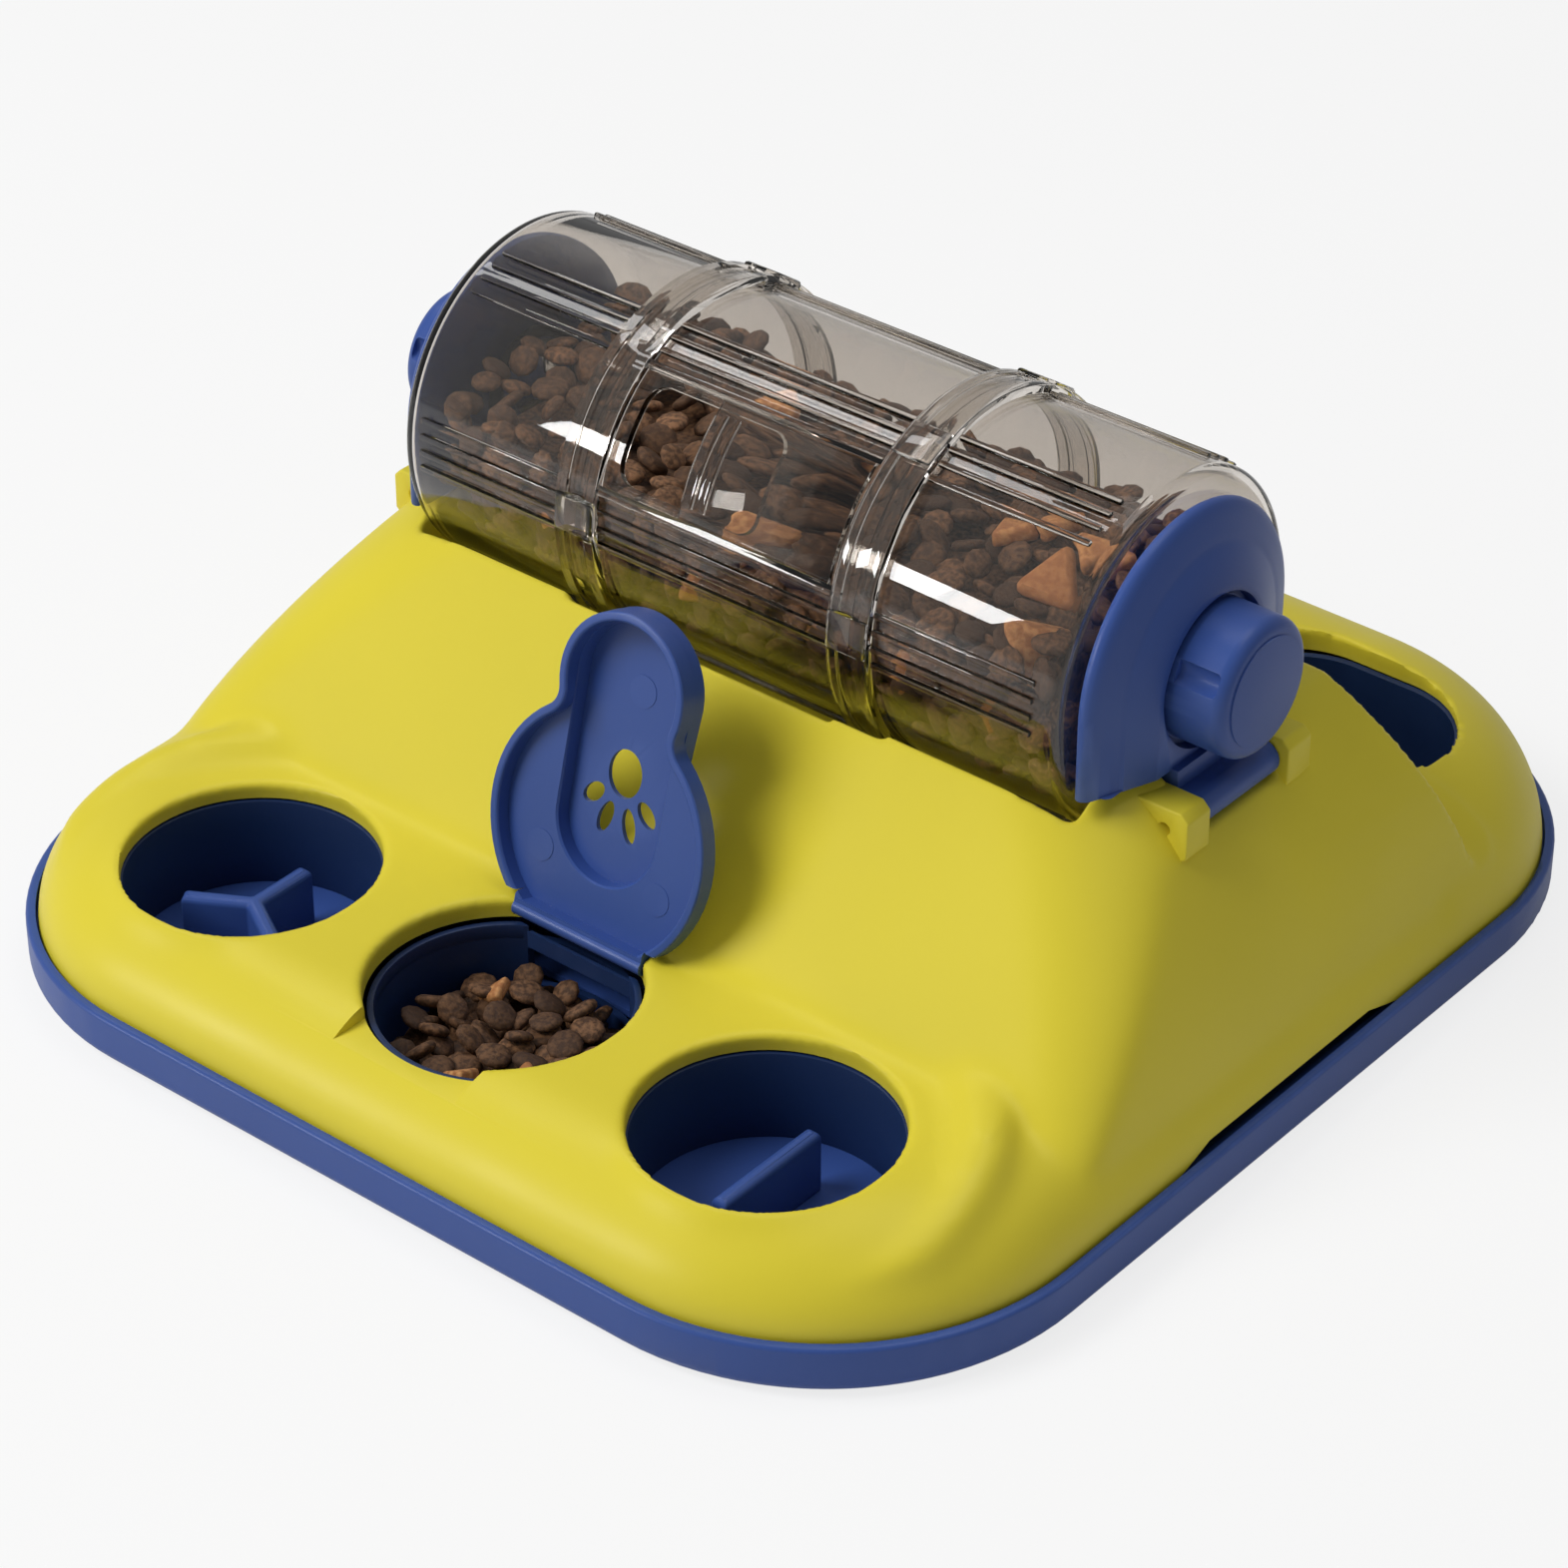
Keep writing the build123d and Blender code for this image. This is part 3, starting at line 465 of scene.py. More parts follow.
def shoulder(side):
    """The soft ridge that curls round the outer back of a front corner opening and sinks into the deck."""
    lean, inset = 0.32, 0.006
    x, y = side * front_well_x, front_well_y
    bpy.ops.object.select_all(action="DESELECT")
    bpy.ops.mesh.primitive_torus_add(major_radius=0.0495, minor_radius=0.010, major_segments=96,
                                     minor_segments=24, location=(x, y, 0.0150))
    ring = settled(bpy.context.object)
    high = radians(50 if side > 0 else 130)
    for vertex in ring.data.vertices:
        vertex.co.z += lean * ((vertex.co.x - x) * cos(high) + (vertex.co.y - y) * sin(high))
    inside = rounded_slab(cover_half_x - inset, cover_half_y - inset, cover_corner - inset, 0.001, 0.1)
    apply_modifier(ring, "BOOLEAN", operation="INTERSECT", solver="EXACT", object=inside)
    bpy.data.objects.remove(inside)
    return ring


def well_collar(side):
    """The level rim round a front corner opening."""
    collar = upright_disc(0.0370, 0.001, deck_top, side * front_well_x, front_well_y)
    round_edges(collar, lambda a, b: min(a.co.z, b.co.z) > deck_top - 1e-5, 0.0034, 4)
    return collar


front_deck = rounded_slab(cover_half_x, cover_half_y, cover_corner, 0.0, deck_top, brow=0.030, drop=0.024)
back_deck = rounded_slab(cover_half_x, cover_half_y, cover_corner, 0.0, back_deck_top,
                         brow=back_brow, drop=back_drop)
cut_away(back_deck, [block(-beyond, beyond, -beyond, back_deck_start, -0.01, 0.1)])
hump_rings, hump_steps = [list(hump_outline(0, 0))], 9
for step in range(hump_steps + 1):
    level = hump_foot + (hump_top - hump_foot) * step / hump_steps
    hump_rings.append(list(hump_outline(step / hump_steps, level)))
forms = [front_deck, back_deck, ringed_form(hump_rings)]
forms += [make(side) for side in (-1, 1) for make in (shoulder, well_collar)]
cover = join_pieces(forms, "cover_moulding")
apply_modifier(cover, "REMESH", mode="VOXEL", voxel_size=0.002, adaptivity=0.0, use_smooth_shade=True)
apply_modifier(cover, "SMOOTH", factor=0.5, iterations=14)

# What lies behind the hump is cut off above the back deck, which leaves a crisp ridge between the two.
deck_ease = 0.0004
behind = ringed_form([[Vector((x, y, z)) for x, y in ((beyond, hump_back(z)), (beyond, 0.25),
                                                      (-beyond, 0.25), (-beyond, hump_back(z)))]
                      for z in (0.030, 0.065, 0.100)])
cut_away(behind, [rounded_slab(cover_half_x + deck_ease, cover_half_y + deck_ease, cover_corner, 0.0,
                               back_deck_top + deck_ease, brow=back_brow, drop=back_drop)])
cut_away(cover, [behind])

# The openings are cut a little deeper than their skirts, and trimmed back once the surface is smooth.
lid_axis_y, lid_axis_z, lid_floor, cut_below = -0.0855, 0.0340, 0.0313, 0.004
cutters = [block(-beyond, beyond, -beyond, beyond, -0.02, cover_foot - cut_below)]
cutters += [upright_disc(front_well_radius, deck_top - skirt - cut_below, 0.1,
                         side * front_well_x, front_well_y) for side in (-1, 1)]
middle_opening = upright_disc(middle_well_radius, lid_floor - cut_below, 0.1, 0, middle_well_y)
cut_away(middle_opening, [block(-0.1, 0.1, middle_well_back, 0.1, 0.0, 0.2)])
cutters.append(middle_opening)
cutters += [rounded_slab(0.0355, 0.0265, 0.026, rear_skirt - cut_below, 0.12,
                         x=side * rear_well_x, y=rear_well_y) for side in (-1, 1)]
cutters.append(axle_drum(trough, -trough_half, trough_half))
for band_x in (-band_middle, band_middle):
    cutters.append(axle_drum(band_trough, band_x - band_trough_half, band_x + band_trough_half))
cutters.append(axle_drum(window_trough, band_trough_half - band_middle, band_middle - band_trough_half))
cutters.append(block(-0.028, 0.028, 0.001, 0.027, 0.046, 0.1))
cutters += [block(side * 0.1094, side * 0.16, axle_y - 0.0164, axle_y + 0.0164, 0.0765, 0.12)
            for side in (-1, 1)]
cut_away(cover, cutters)
apply_modifier(cover, "REMESH", mode="VOXEL", voxel_size=0.0011, adaptivity=0.0, use_smooth_shade=True)
apply_modifier(cover, "SMOOTH", factor=0.5, iterations=3)
apply_modifier(cover, "DECIMATE", decimate_type="COLLAPSE", ratio=0.22)
cut_away(cover, [block(-0.0201, 0.0201, -0.18, middle_well_y, lid_floor, 0.1),
                 block(-0.0215, 0.0215, -0.0890, lid_axis_y + 0.0039, lid_floor, 0.1)])


def trim_below(piece, level, inside):
    """Slices off what lies below a level, among the faces that the test picks."""
    select_only(piece)
    bpy.ops.object.mode_set(mode="EDIT")
    bpy.ops.mesh.select_mode(type="FACE")
    bpy.ops.mesh.select_all(action="DESELECT")
    shape = bmesh.from_edit_mesh(piece.data)
    for face in shape.faces:
        middle = face.calc_center_median()
        face.select_set(middle.z < level + 0.004 and inside(middle.x, middle.y))
    bpy.ops.mesh.bisect(plane_co=(0, 0, level), plane_no=(0, 0, 1), clear_inner=True)
    bpy.ops.object.mode_set(mode="OBJECT")


trim_below(cover, cover_foot, lambda x, y: True)
for side in (-1, 1):
    trim_below(cover, deck_top - skirt,
               lambda x, y: hypot(x - side * front_well_x, y - front_well_y) < 0.0345)
    trim_below(cover, rear_skirt, lambda x, y: hypot(max(abs(x - side * rear_well_x) - 0.0095, 0),
                                                     max(abs(y - rear_well_y) - 0.0005, 0)) < 0.0275)
trim_below(cover, lid_floor - 0.0006, lambda x, y: hypot(x, y - middle_well_y) < 0.0359 and y < -0.0842)
trim_below(cover, 0.050, lambda x, y: abs(x) < 0.029 and 0.0 < y < 0.028)
apply_modifier(cover, "SOLIDIFY", thickness=0.0024, offset=-1, use_even_offset=False)
grip_notch = ((0.008, 0.0600), (0.0130, 0.0480), (0.0168, 0.0340))
cut_away(cover, [ringed_form([[Vector((side * x, y, z)) for x, y in ((0.17, -half), (0.17, half),
                                                                     (0.14, half), (0.14, -half))]
                              for z, half in grip_notch]) for side in (-1, 1)])
bpy.ops.object.shade_smooth_by_angle(angle=radians(50))
yellow_plastic = moulded_plastic("yellow_satin_plastic", (0.80, 0.675, 0.045), (0.86, 0.78, 0.18),
                                 mottle=0.06, rub=0.25, gloss=0.42, grain=0.2)
dress(cover, yellow_plastic, "yellow_plastic", "cover", "top_cover")


# Rear cups and middle cup.
# The two deep cups below the back deck, and the cup below the lid, all in the tray's own blue plastic, shown
# in a darker copy of it as painted shade for their deep insides. The middle cup's rim reaches up to its
# opening, and it is cut straight along the lid's hinge.
for word in ("left", "right"):
    rear_cup = eased_copy(f"cup_rear_{word}", f"food_cup_rear_{word}", 0.0)
    cut_away(rear_cup, [block(-beyond, beyond, 0.0, beyond, rear_skirt - 0.0003, 0.1)])
    bpy.ops.object.shade_smooth_by_angle(angle=radians(32))
    dress(rear_cup, painted_shade_blue_plastic, "blue_plastic", "tray", f"cup_rear_{word}")
middle_cup = eased_copy("cup_middle", "food_cup_middle", 0.0)
cup_rim = upright_disc(0.0338, 0.0255, lid_floor - 0.0012, 0, middle_well_y)
cut_away(cup_rim, [upright_disc(0.0320, 0.0, 0.1, 0, middle_well_y)])
apply_modifier(cup_rim, "BEVEL", width=0.0004, segments=2, limit_method="ANGLE", angle_limit=radians(40))
cut_away(cup_rim, [block(-0.1, 0.1, -0.0862, 0.1, 0.0, 0.2)])
hinge_wall = block(-0.0215, 0.0215, -0.0864, -0.0854, 0.0235, lid_floor - 0.0030)
middle_cup = join_pieces([middle_cup, cup_rim, hinge_wall], "food_cup_middle")
select_only(middle_cup)
bpy.ops.object.shade_smooth_by_angle(angle=radians(32))
dress(middle_cup, painted_shade_blue_plastic, "blue_plastic", "tray", "cup_middle")


# Hinge ears and pins.
# Beside each bracket's foot the cover has two small upright blocks that taper into its flank, and a dark
# steel pin lies in their bores. The ears are yellow as the cover is, and part of its moulding.
hinge_x, hinge_z, ear_wide = 0.123, 0.0812, 0.0095
ear_root, ear_reach, ear_rise = 0.1094, hinge_x + 0.0070, 0.0062
ear_side = [(ear_root, hinge_z + ear_rise), (hinge_x + 0.0048, hinge_z + ear_rise),
            (ear_reach, hinge_z + 0.0040), (ear_reach, hinge_z - 0.0060),
            (hinge_x + 0.0010, hinge_z - 0.0120), (ear_root, hinge_z - 0.0120)]


def hinge_ear(side, way):
    """One ear: a six-sided prism drawn to the ear's side view, bored and rounded."""
    near = axle_y + way * 0.0164
    ear = ringed_form([[Vector((side * x, near + way * ear_wide * share, z)) for x, z in ear_side]
                       for share in (0.0, 0.5, 1.0)])
    bpy.ops.object.select_all(action="DESELECT")
    bpy.ops.mesh.primitive_cylinder_add(vertices=32, radius=0.0017, depth=0.08, rotation=(pi / 2, 0, 0),
                                        location=(side * hinge_x, axle_y, hinge_z))
    cut_away(ear, [settled(bpy.context.object)])
    apply_modifier(ear, "BEVEL", width=0.0005, segments=3, limit_method="ANGLE", angle_limit=radians(30))
    bpy.ops.object.shade_smooth_by_angle(angle=radians(35))
    return ear


for word, side in (("left", -1), ("right", 1)):
    for place, way in (("front", -1), ("back", 1)):
        ear = hinge_ear(side, way)
        ear.name = f"hinge_ear_{word}_{place}"
        dress(ear, yellow_plastic, "yellow_plastic", "cover")

pin_steel = bpy.data.materials.new("dark_pin_steel")
pin_steel.use_nodes = True
steel = pin_steel.node_tree
steel_shader = steel.nodes["Principled BSDF"]
steel_shader.inputs["Metallic"].default_value = 1.0
steel_place = steel.nodes.new("ShaderNodeTexCoord")
steel_streaks = steel.nodes.new("ShaderNodeTexNoise")
steel_streaks.inputs["Scale"].default_value = 900.0
steel_tone = steel.nodes.new("ShaderNodeValToRGB")
steel_tone.color_ramp.elements[0].color = (0.10, 0.10, 0.12, 1)
steel_tone.color_ramp.elements[1].color = (0.30, 0.30, 0.33, 1)
steel_rough = steel.nodes.new("ShaderNodeMapRange")
steel_rough.inputs["To Min"].default_value = 0.25
steel_rough.inputs["To Max"].default_value = 0.5
steel.links.new(steel_place.outputs["Object"], steel_streaks.inputs["Vector"])
steel.links.new(steel_streaks.outputs["Fac"], steel_tone.inputs["Fac"])
steel.links.new(steel_streaks.outputs["Fac"], steel_rough.inputs["Value"])
steel.links.new(steel_tone.outputs["Color"], steel_shader.inputs["Base Color"])
steel.links.new(steel_rough.outputs["Result"], steel_shader.inputs["Roughness"])


def hinge_pin(name, radius, half, place, lying_along):
    """A plain steel pin with rounded ends, a little shorter than its bore."""
    turn = (0, pi / 2, 0) if lying_along == "x" else (pi / 2, 0, 0)
    bpy.ops.object.select_all(action="DESELECT")
    bpy.ops.mesh.primitive_cylinder_add(vertices=32, radius=radius, depth=2 * half, location=place,
                                        rotation=turn)
    pin = settled(bpy.context.object)
    apply_modifier(pin, "BEVEL", width=radius / 3, segments=3, limit_method="ANGLE", angle_limit=radians(40))
    bpy.ops.object.shade_smooth_by_angle(angle=radians(35))
    pin.name = name
    return pin


for word, side in (("left", -1), ("right", 1)):
    pin = hinge_pin(f"bracket_hinge_pin_{word}", 0.0014, 0.0212, (side * hinge_x, axle_y, hinge_z), "y")
    dress(pin, pin_steel, "steel_pin", "cover", f"bracket_pin_{word}")
lid_pin = hinge_pin("lid_hinge_pin", 0.0009, 0.0265, (0, lid_axis_y, lid_axis_z), "x")
dress(lid_pin, pin_steel, "steel_pin", "cover", "lid_pin")


# Drum.
# A clear, lightly smoked tube moulded in thirds that push together, with six groups of raised ribs. The
# middle third has the feed window between two rails, and each end third is closed by a rounded end wall.
drum_outer, drum_bore, drum_half = 0.0473, 0.0451, 0.1056
rib_wide, rib_foot, rib_top, rib_soft, rib_step = 0.0017, 0.0462, 0.0484, 0.00045, 5.4
rib_groups = [radians(5 + 60 * group) for group in range(6)]
window_x, window_angle, rail_top = -0.012, 35.75, 0.0499


def drum_bar(start, end, width, low, high, soft, angle):
    """A straight bar along the tube with soft edges, standing at one angle above the front."""
    bar = block(start, end, -width / 2, width / 2, low, high)
    round_edges(bar, lambda a, b: True, soft, 2)
    bar.rotation_euler = (pi / 2 - angle, 0, 0)
    bar.location = (0, axle_y, axle_z)
    return settled(bar)


def rib_set(start, end):
    """All the ribs of one third of the drum."""
    ribs = [drum_bar(start, end, rib_wide, rib_foot, rib_top, rib_soft, group + radians(rib_step * step))
            for group in rib_groups for step in (-1.5, -0.5, 0.5, 1.5)]
    return join_pieces(ribs, "drum_ribs")


def fuse(piece, other):
    """Makes one solid of two."""
    apply_modifier(piece, "BOOLEAN", operation="UNION", solver="EXACT", object=other)
    bpy.data.objects.remove(other)


def at_end(x):
    """A test for the edges that lie at one end of a turned piece."""
    return lambda a, b: abs(a.co.x - x) < 1e-5 and abs(b.co.x - x) < 1e-5


smoked = bpy.data.materials.new("smoked_clear_plastic")
smoked.use_nodes = True
smoke = smoked.node_tree
smoke_shader = smoke.nodes["Principled BSDF"]
smoke_shader.inputs["Transmission Weight"].default_value = 1.0
smoke_shader.inputs["IOR"].default_value = 1.49
smoke_shader.inputs["Specular IOR Level"].default_value = 0.33
smoke_place = smoke.nodes.new("ShaderNodeTexCoord")
smoke_haze = smoke.nodes.new("ShaderNodeTexNoise")
smoke_haze.inputs["Scale"].default_value = 26.0
smoke_haze.inputs["Detail"].default_value = 3.0
smoke_tone = smoke.nodes.new("ShaderNodeValToRGB")
smoke_tone.color_ramp.elements[0].color = (0.67, 0.63, 0.585, 1)
smoke_tone.color_ramp.elements[1].color = (0.73, 0.69, 0.645, 1)
smoke_rough = smoke.nodes.new("ShaderNodeMapRange")
smoke_rough.inputs["From Min"].default_value = 0.35
smoke_rough.inputs["From Max"].default_value = 0.75
smoke_rough.inputs["To Min"].default_value = 0.0
smoke_rough.inputs["To Max"].default_value = 0.03
smoke_wave = smoke.nodes.new("ShaderNodeTexNoise")
smoke_wave.inputs["Scale"].default_value = 45.0
smoke_bump = smoke.nodes.new("ShaderNodeBump")
smoke_bump.inputs["Strength"].default_value = 0.05
smoke_bump.inputs["Distance"].default_value = 0.0004
smoke_lit = smoke.nodes.new("ShaderNodeLightPath")
smoke_veil = smoke.nodes.new("ShaderNodeBsdfTransparent")
smoke_veil.inputs["Color"].default_value = (0.97, 0.965, 0.955, 1)
smoke_mix = smoke.nodes.new("ShaderNodeMixShader")
smoke.links.new(smoke_place.outputs["Object"], smoke_haze.inputs["Vector"])
smoke.links.new(smoke_place.outputs["Object"], smoke_wave.inputs["Vector"])
smoke.links.new(smoke_haze.outputs["Fac"], smoke_tone.inputs["Fac"])
smoke.links.new(smoke_haze.outputs["Fac"], smoke_rough.inputs["Value"])
smoke.links.new(smoke_tone.outputs["Color"], smoke_shader.inputs["Base Color"])
smoke.links.new(smoke_rough.outputs["Result"], smoke_shader.inputs["Roughness"])
smoke.links.new(smoke_wave.outputs["Fac"], smoke_bump.inputs["Height"])
smoke.links.new(smoke_bump.outputs["Normal"], smoke_shader.inputs["Normal"])
smoke.links.new(smoke_lit.outputs["Is Shadow Ray"], smoke_mix.inputs["Fac"])
smoke.links.new(smoke_shader.outputs["BSDF"], smoke_mix.inputs[1])
smoke.links.new(smoke_veil.outputs["BSDF"], smoke_mix.inputs[2])
smoke.links.new(smoke_mix.outputs[0], smoke.nodes["Material Output"].inputs["Surface"])

middle = axle_drum(drum_outer, -0.0439, 0.0439, 160)
cut_away(middle, [axle_drum(drum_bore, -0.05, 0.05, 160)])
fuse(middle, rib_set(-0.0378, 0.0378))
# Each rail is an upright leg with a lip that leans in over the door's edge.
for leg_angle, lip_angle in ((14.97, 15.77), (56.53, 55.73)):
    fuse(middle, drum_bar(-0.0378, 0.0378, 0.00132, rib_foot, rail_top, 0.0003, radians(leg_angle)))
    fuse(middle, drum_bar(-0.0377, 0.0377, 0.0027, 0.0493, rail_top, 0.0002, radians(lip_angle)))
window = rounded_slab(0.022, 0.0132, 0.005, 0.040, 0.055, x=window_x)
window.rotation_euler = (pi / 2 - radians(window_angle), 0, 0)
window.location = (0, axle_y, axle_z)
cut_away(middle, [settled(window)])
select_only(middle)
bpy.ops.object.shade_smooth_by_angle(angle=radians(35))
middle.name = "drum_middle_third"
dress(middle, smoked, "smoke_clear_plastic", "drum", "drum_middle")

for word, side in (("left", -1), ("right", 1)):
    shell = axle_drum(drum_outer, side * 0.0441, side * drum_half, 160)
    round_edges(shell, at_end(side * drum_half), 0.0036, 8)
    hollow_end = side * (drum_half - 0.0022)
    hollow = axle_drum(drum_bore, side * 0.040, hollow_end, 160)
    round_edges(hollow, at_end(hollow_end), 0.0016, 4)
    cut_away(shell, [hollow, axle_drum(0.0131, side * 0.09, side * 0.12, 64)])
    fuse(shell, rib_set(side * 0.0502, side * 0.0984))
    select_only(shell)
    bpy.ops.object.shade_smooth_by_angle(angle=radians(35))
    shell.name = f"drum_{word}_third"
    dress(shell, smoked, "smoke_clear_plastic", "drum", f"drum_end_{word}")
    hub = eased_copy(f"drum_hub_{word}", f"drum_bearing_{word}", 0.0003)
    dress(hub, smoked, "smoke_clear_plastic", "drum", f"drum_hub_{word}")


# Joint bands.
# Two clear rings over the joints between the drum's thirds. Each has a raised bead along both edges, and a
# thicker clip block wherever a group of ribs runs into it.
band_outer, band_bore, band_half, groove_bottom, groove_half = 0.0499, 0.04735, 0.0062, 0.0490, 0.0032
for word, side in (("left", -1), ("right", 1)):
    middle_x = side * band_middle
    band = axle_drum(band_outer, middle_x - band_half, middle_x + band_half, 160)
    groove = axle_drum(0.055, middle_x - groove_half, middle_x + groove_half, 160)
    cut_away(groove, [axle_drum(groove_bottom, middle_x - 0.01, middle_x + 0.01, 160)])
    cut_away(band, [groove, axle_drum(band_bore, middle_x - 0.01, middle_x + 0.01, 160)])
    apply_modifier(band, "BEVEL", width=0.0006, segments=3, limit_method="ANGLE", angle_limit=radians(40))
    clips = [drum_bar(middle_x - 0.0061, middle_x + 0.0061, 0.0105, 0.0482, 0.0505, 0.0008, group)
             for group in rib_groups]
    fuse(band, join_pieces(clips, "clip_blocks"))
    select_only(band)
    bpy.ops.object.shade_smooth_by_angle(angle=radians(35))
    band.name = f"joint_band_{word}"
    dress(band, smoked, "smoke_clear_plastic", "drum", f"drum_band_{word}")


# Feed door.
# A curved clear plate that slides along the drum between the two rails, with two finger ridges.
door = eased_copy("feed_door", "sliding_feed_door", 0.0002)
dress(door, smoked, "smoke_clear_plastic", "door", "feed_door")


# Dry food.
# Baked pieces of dog food: small brown discs, and a few larger, lighter wedges. They lie loose over a dark
# core of crumbs, in the drum to a little above its axle and in the middle cup.
food_seed = 11
food_dice = random.Random(food_seed)
noise.seed_set(food_seed)
disc_radius, disc_half, wedge_radius, wedge_half = 0.0046, 0.0016, 0.0105, 0.0028
lump_height, lumps_per_metre, food_reach, heap_top = 0.0004, 170, 0.0447, 0.1212


def food_disc():
    """One baked disc, low in faces because it is repeated hundreds of times."""
    bpy.ops.object.select_all(action="DESELECT")
    bpy.ops.mesh.primitive_uv_sphere_add(segments=10, ring_count=6, radius=1, location=(0, 0, 0))
    disc = bpy.context.object
    for vertex in disc.data.vertices:
        x, y, z = vertex.co
        swell = max(hypot(x, y), 1e-6) ** -0.42
        vertex.co = (x * swell * disc_radius, y * swell * disc_radius, z * disc_half)
    return disc


def food_wedge():
    """One larger three-cornered piece with rounded corners and edges."""
    bpy.ops.object.select_all(action="DESELECT")
    bpy.ops.mesh.primitive_cylinder_add(vertices=3, radius=wedge_radius, depth=2 * wedge_half,
                                        location=(0, 0, 0))
    wedge = bpy.context.object
    round_edges(wedge, lambda a, b: abs(a.co.z - b.co.z) > wedge_half, 0.0034, 3)
    round_edges(wedge, lambda a, b: abs(a.co.z - b.co.z) < 1e-6, 0.0016, 2)
    return wedge


def scattered(model, place, facing, size):
    """A copy of the model at one place, with its own mesh, turn and lumps."""
    piece = model.copy()
    piece.data = model.data.copy()
    scene.collection.objects.link(piece)
    turn = Matrix.Rotation(food_dice.uniform(0, tau), 4, "Z")
    long, wide = size * food_dice.uniform(0.9, 1.12), size * food_dice.uniform(0.9, 1.05)
    stretch = Matrix.Diagonal((long, wide, size, 1))
    seat = Matrix.Translation(place) @ facing.to_track_quat("Z", "Y").to_matrix().to_4x4()
    for vertex in piece.data.vertices:
        vertex.co += noise.noise_vector(vertex.co * lumps_per_metre + place * 3000) * lump_height
    piece.data.transform(seat @ turn @ stretch)
    return piece


def tilted(normal, most):
    """A direction up to most radians off the normal, and how far off it is."""
    aside = normal.orthogonal().normalized()
    aside.rotate(Matrix.Rotation(food_dice.uniform(0, tau), 3, normal))
    lean = most * food_dice.random() ** 0.7
    return (normal * cos(lean) + aside * sin(lean)).normalized(), lean


class Spacing:
    """Keeps places at least a gap apart, on a coarse grid."""

    def __init__(self, gap):
        self.gap = gap
        self.cells = {}

    def free(self, place):
        """Takes the place if no other is too near."""
        key = tuple(int(value // self.gap) for value in place)
        for i in (-1, 0, 1):
            for j in (-1, 0, 1):
                for k in (-1, 0, 1):
                    for other in self.cells.get((key[0] + i, key[1] + j, key[2] + k), ()):
                        if (other - place).length < self.gap:
                            return False
        self.cells.setdefault(key, []).append(place)
        return True


def heap_level(x, y):
    """How high the food in the drum lies: a little uneven, and banked up towards the ends."""
    bank = max(0.0, (x - 0.050) / 0.050) ** 1.5 * 0.004 + max(0.0, (-0.040 - x) / 0.055) * 0.0065
    return heap_top + bank + 0.0022 * noise.noise(Vector((x * 28, y * 28, 3.1)))


def drum_places():
    """Places and facings for the discs in the drum: two layers on its wall, and its top."""
    axle = Vector((0, axle_y, axle_z))
    for depth, tries, gap in ((0.0004, 7000, 0.0071), (0.0046, 6000, 0.0074)):
        spacing = Spacing(gap)
        for _ in range(tries):
            angle = food_dice.uniform(radians(-200), radians(20))
            out = Vector((0, -cos(angle), sin(angle)))
            facing, lean = tilted(out, radians(50))
            size = food_dice.uniform(0.88, 1.12)
            reach = size * 1.1 * (disc_radius * sin(lean) + disc_half * cos(lean)) + 0.0006
            x = food_dice.uniform(-0.096, 0.096)
            place = axle + out * (food_reach - reach - depth) + Vector((x, 0, 0))
            if place.z < heap_level(place.x, place.y) - 0.002 and spacing.free(place):
                yield place, facing, size
    spacing = Spacing(0.0070)
    for _ in range(7000):
        x, y = food_dice.uniform(-0.096, 0.096), axle_y + food_dice.uniform(-0.040, 0.040)
        place = Vector((x, y, heap_level(x, y) + food_dice.uniform(-0.003, 0.001)))
        facing, _ = tilted(Vector((0, 0, 1)), radians(46))
        off = hypot(place.y - axle_y, place.z - axle_z)
        if off < food_reach - disc_radius * 1.2 and spacing.free(place):
            yield place, facing, food_dice.uniform(0.88, 1.15)


def cup_places():
    """Places and facings for the discs in the middle cup, piled in three layers."""
    for level, rim, gap in ((0.0115, 0.0265, 0.0078), (0.0155, 0.0265, 0.0076), (0.0190, 0.0245, 0.0078)):
        spacing = Spacing(gap)
        for _ in range(1500):
            angle, reach = food_dice.uniform(0, tau), rim * food_dice.random() ** 0.5
            x, y = reach * cos(angle), middle_well_y + reach * sin(angle)
            dome = 0.0030 * (1 - (reach / rim) ** 2) + 0.0016 * noise.noise(Vector((x * 60, y * 60, 0.7)))
            place = Vector((x, y, level + dome))
            facing, _ = tilted(Vector((0, 0, 1)), radians(48))
            if spacing.free(place):
                yield place, facing, food_dice.uniform(0.9, 1.15)


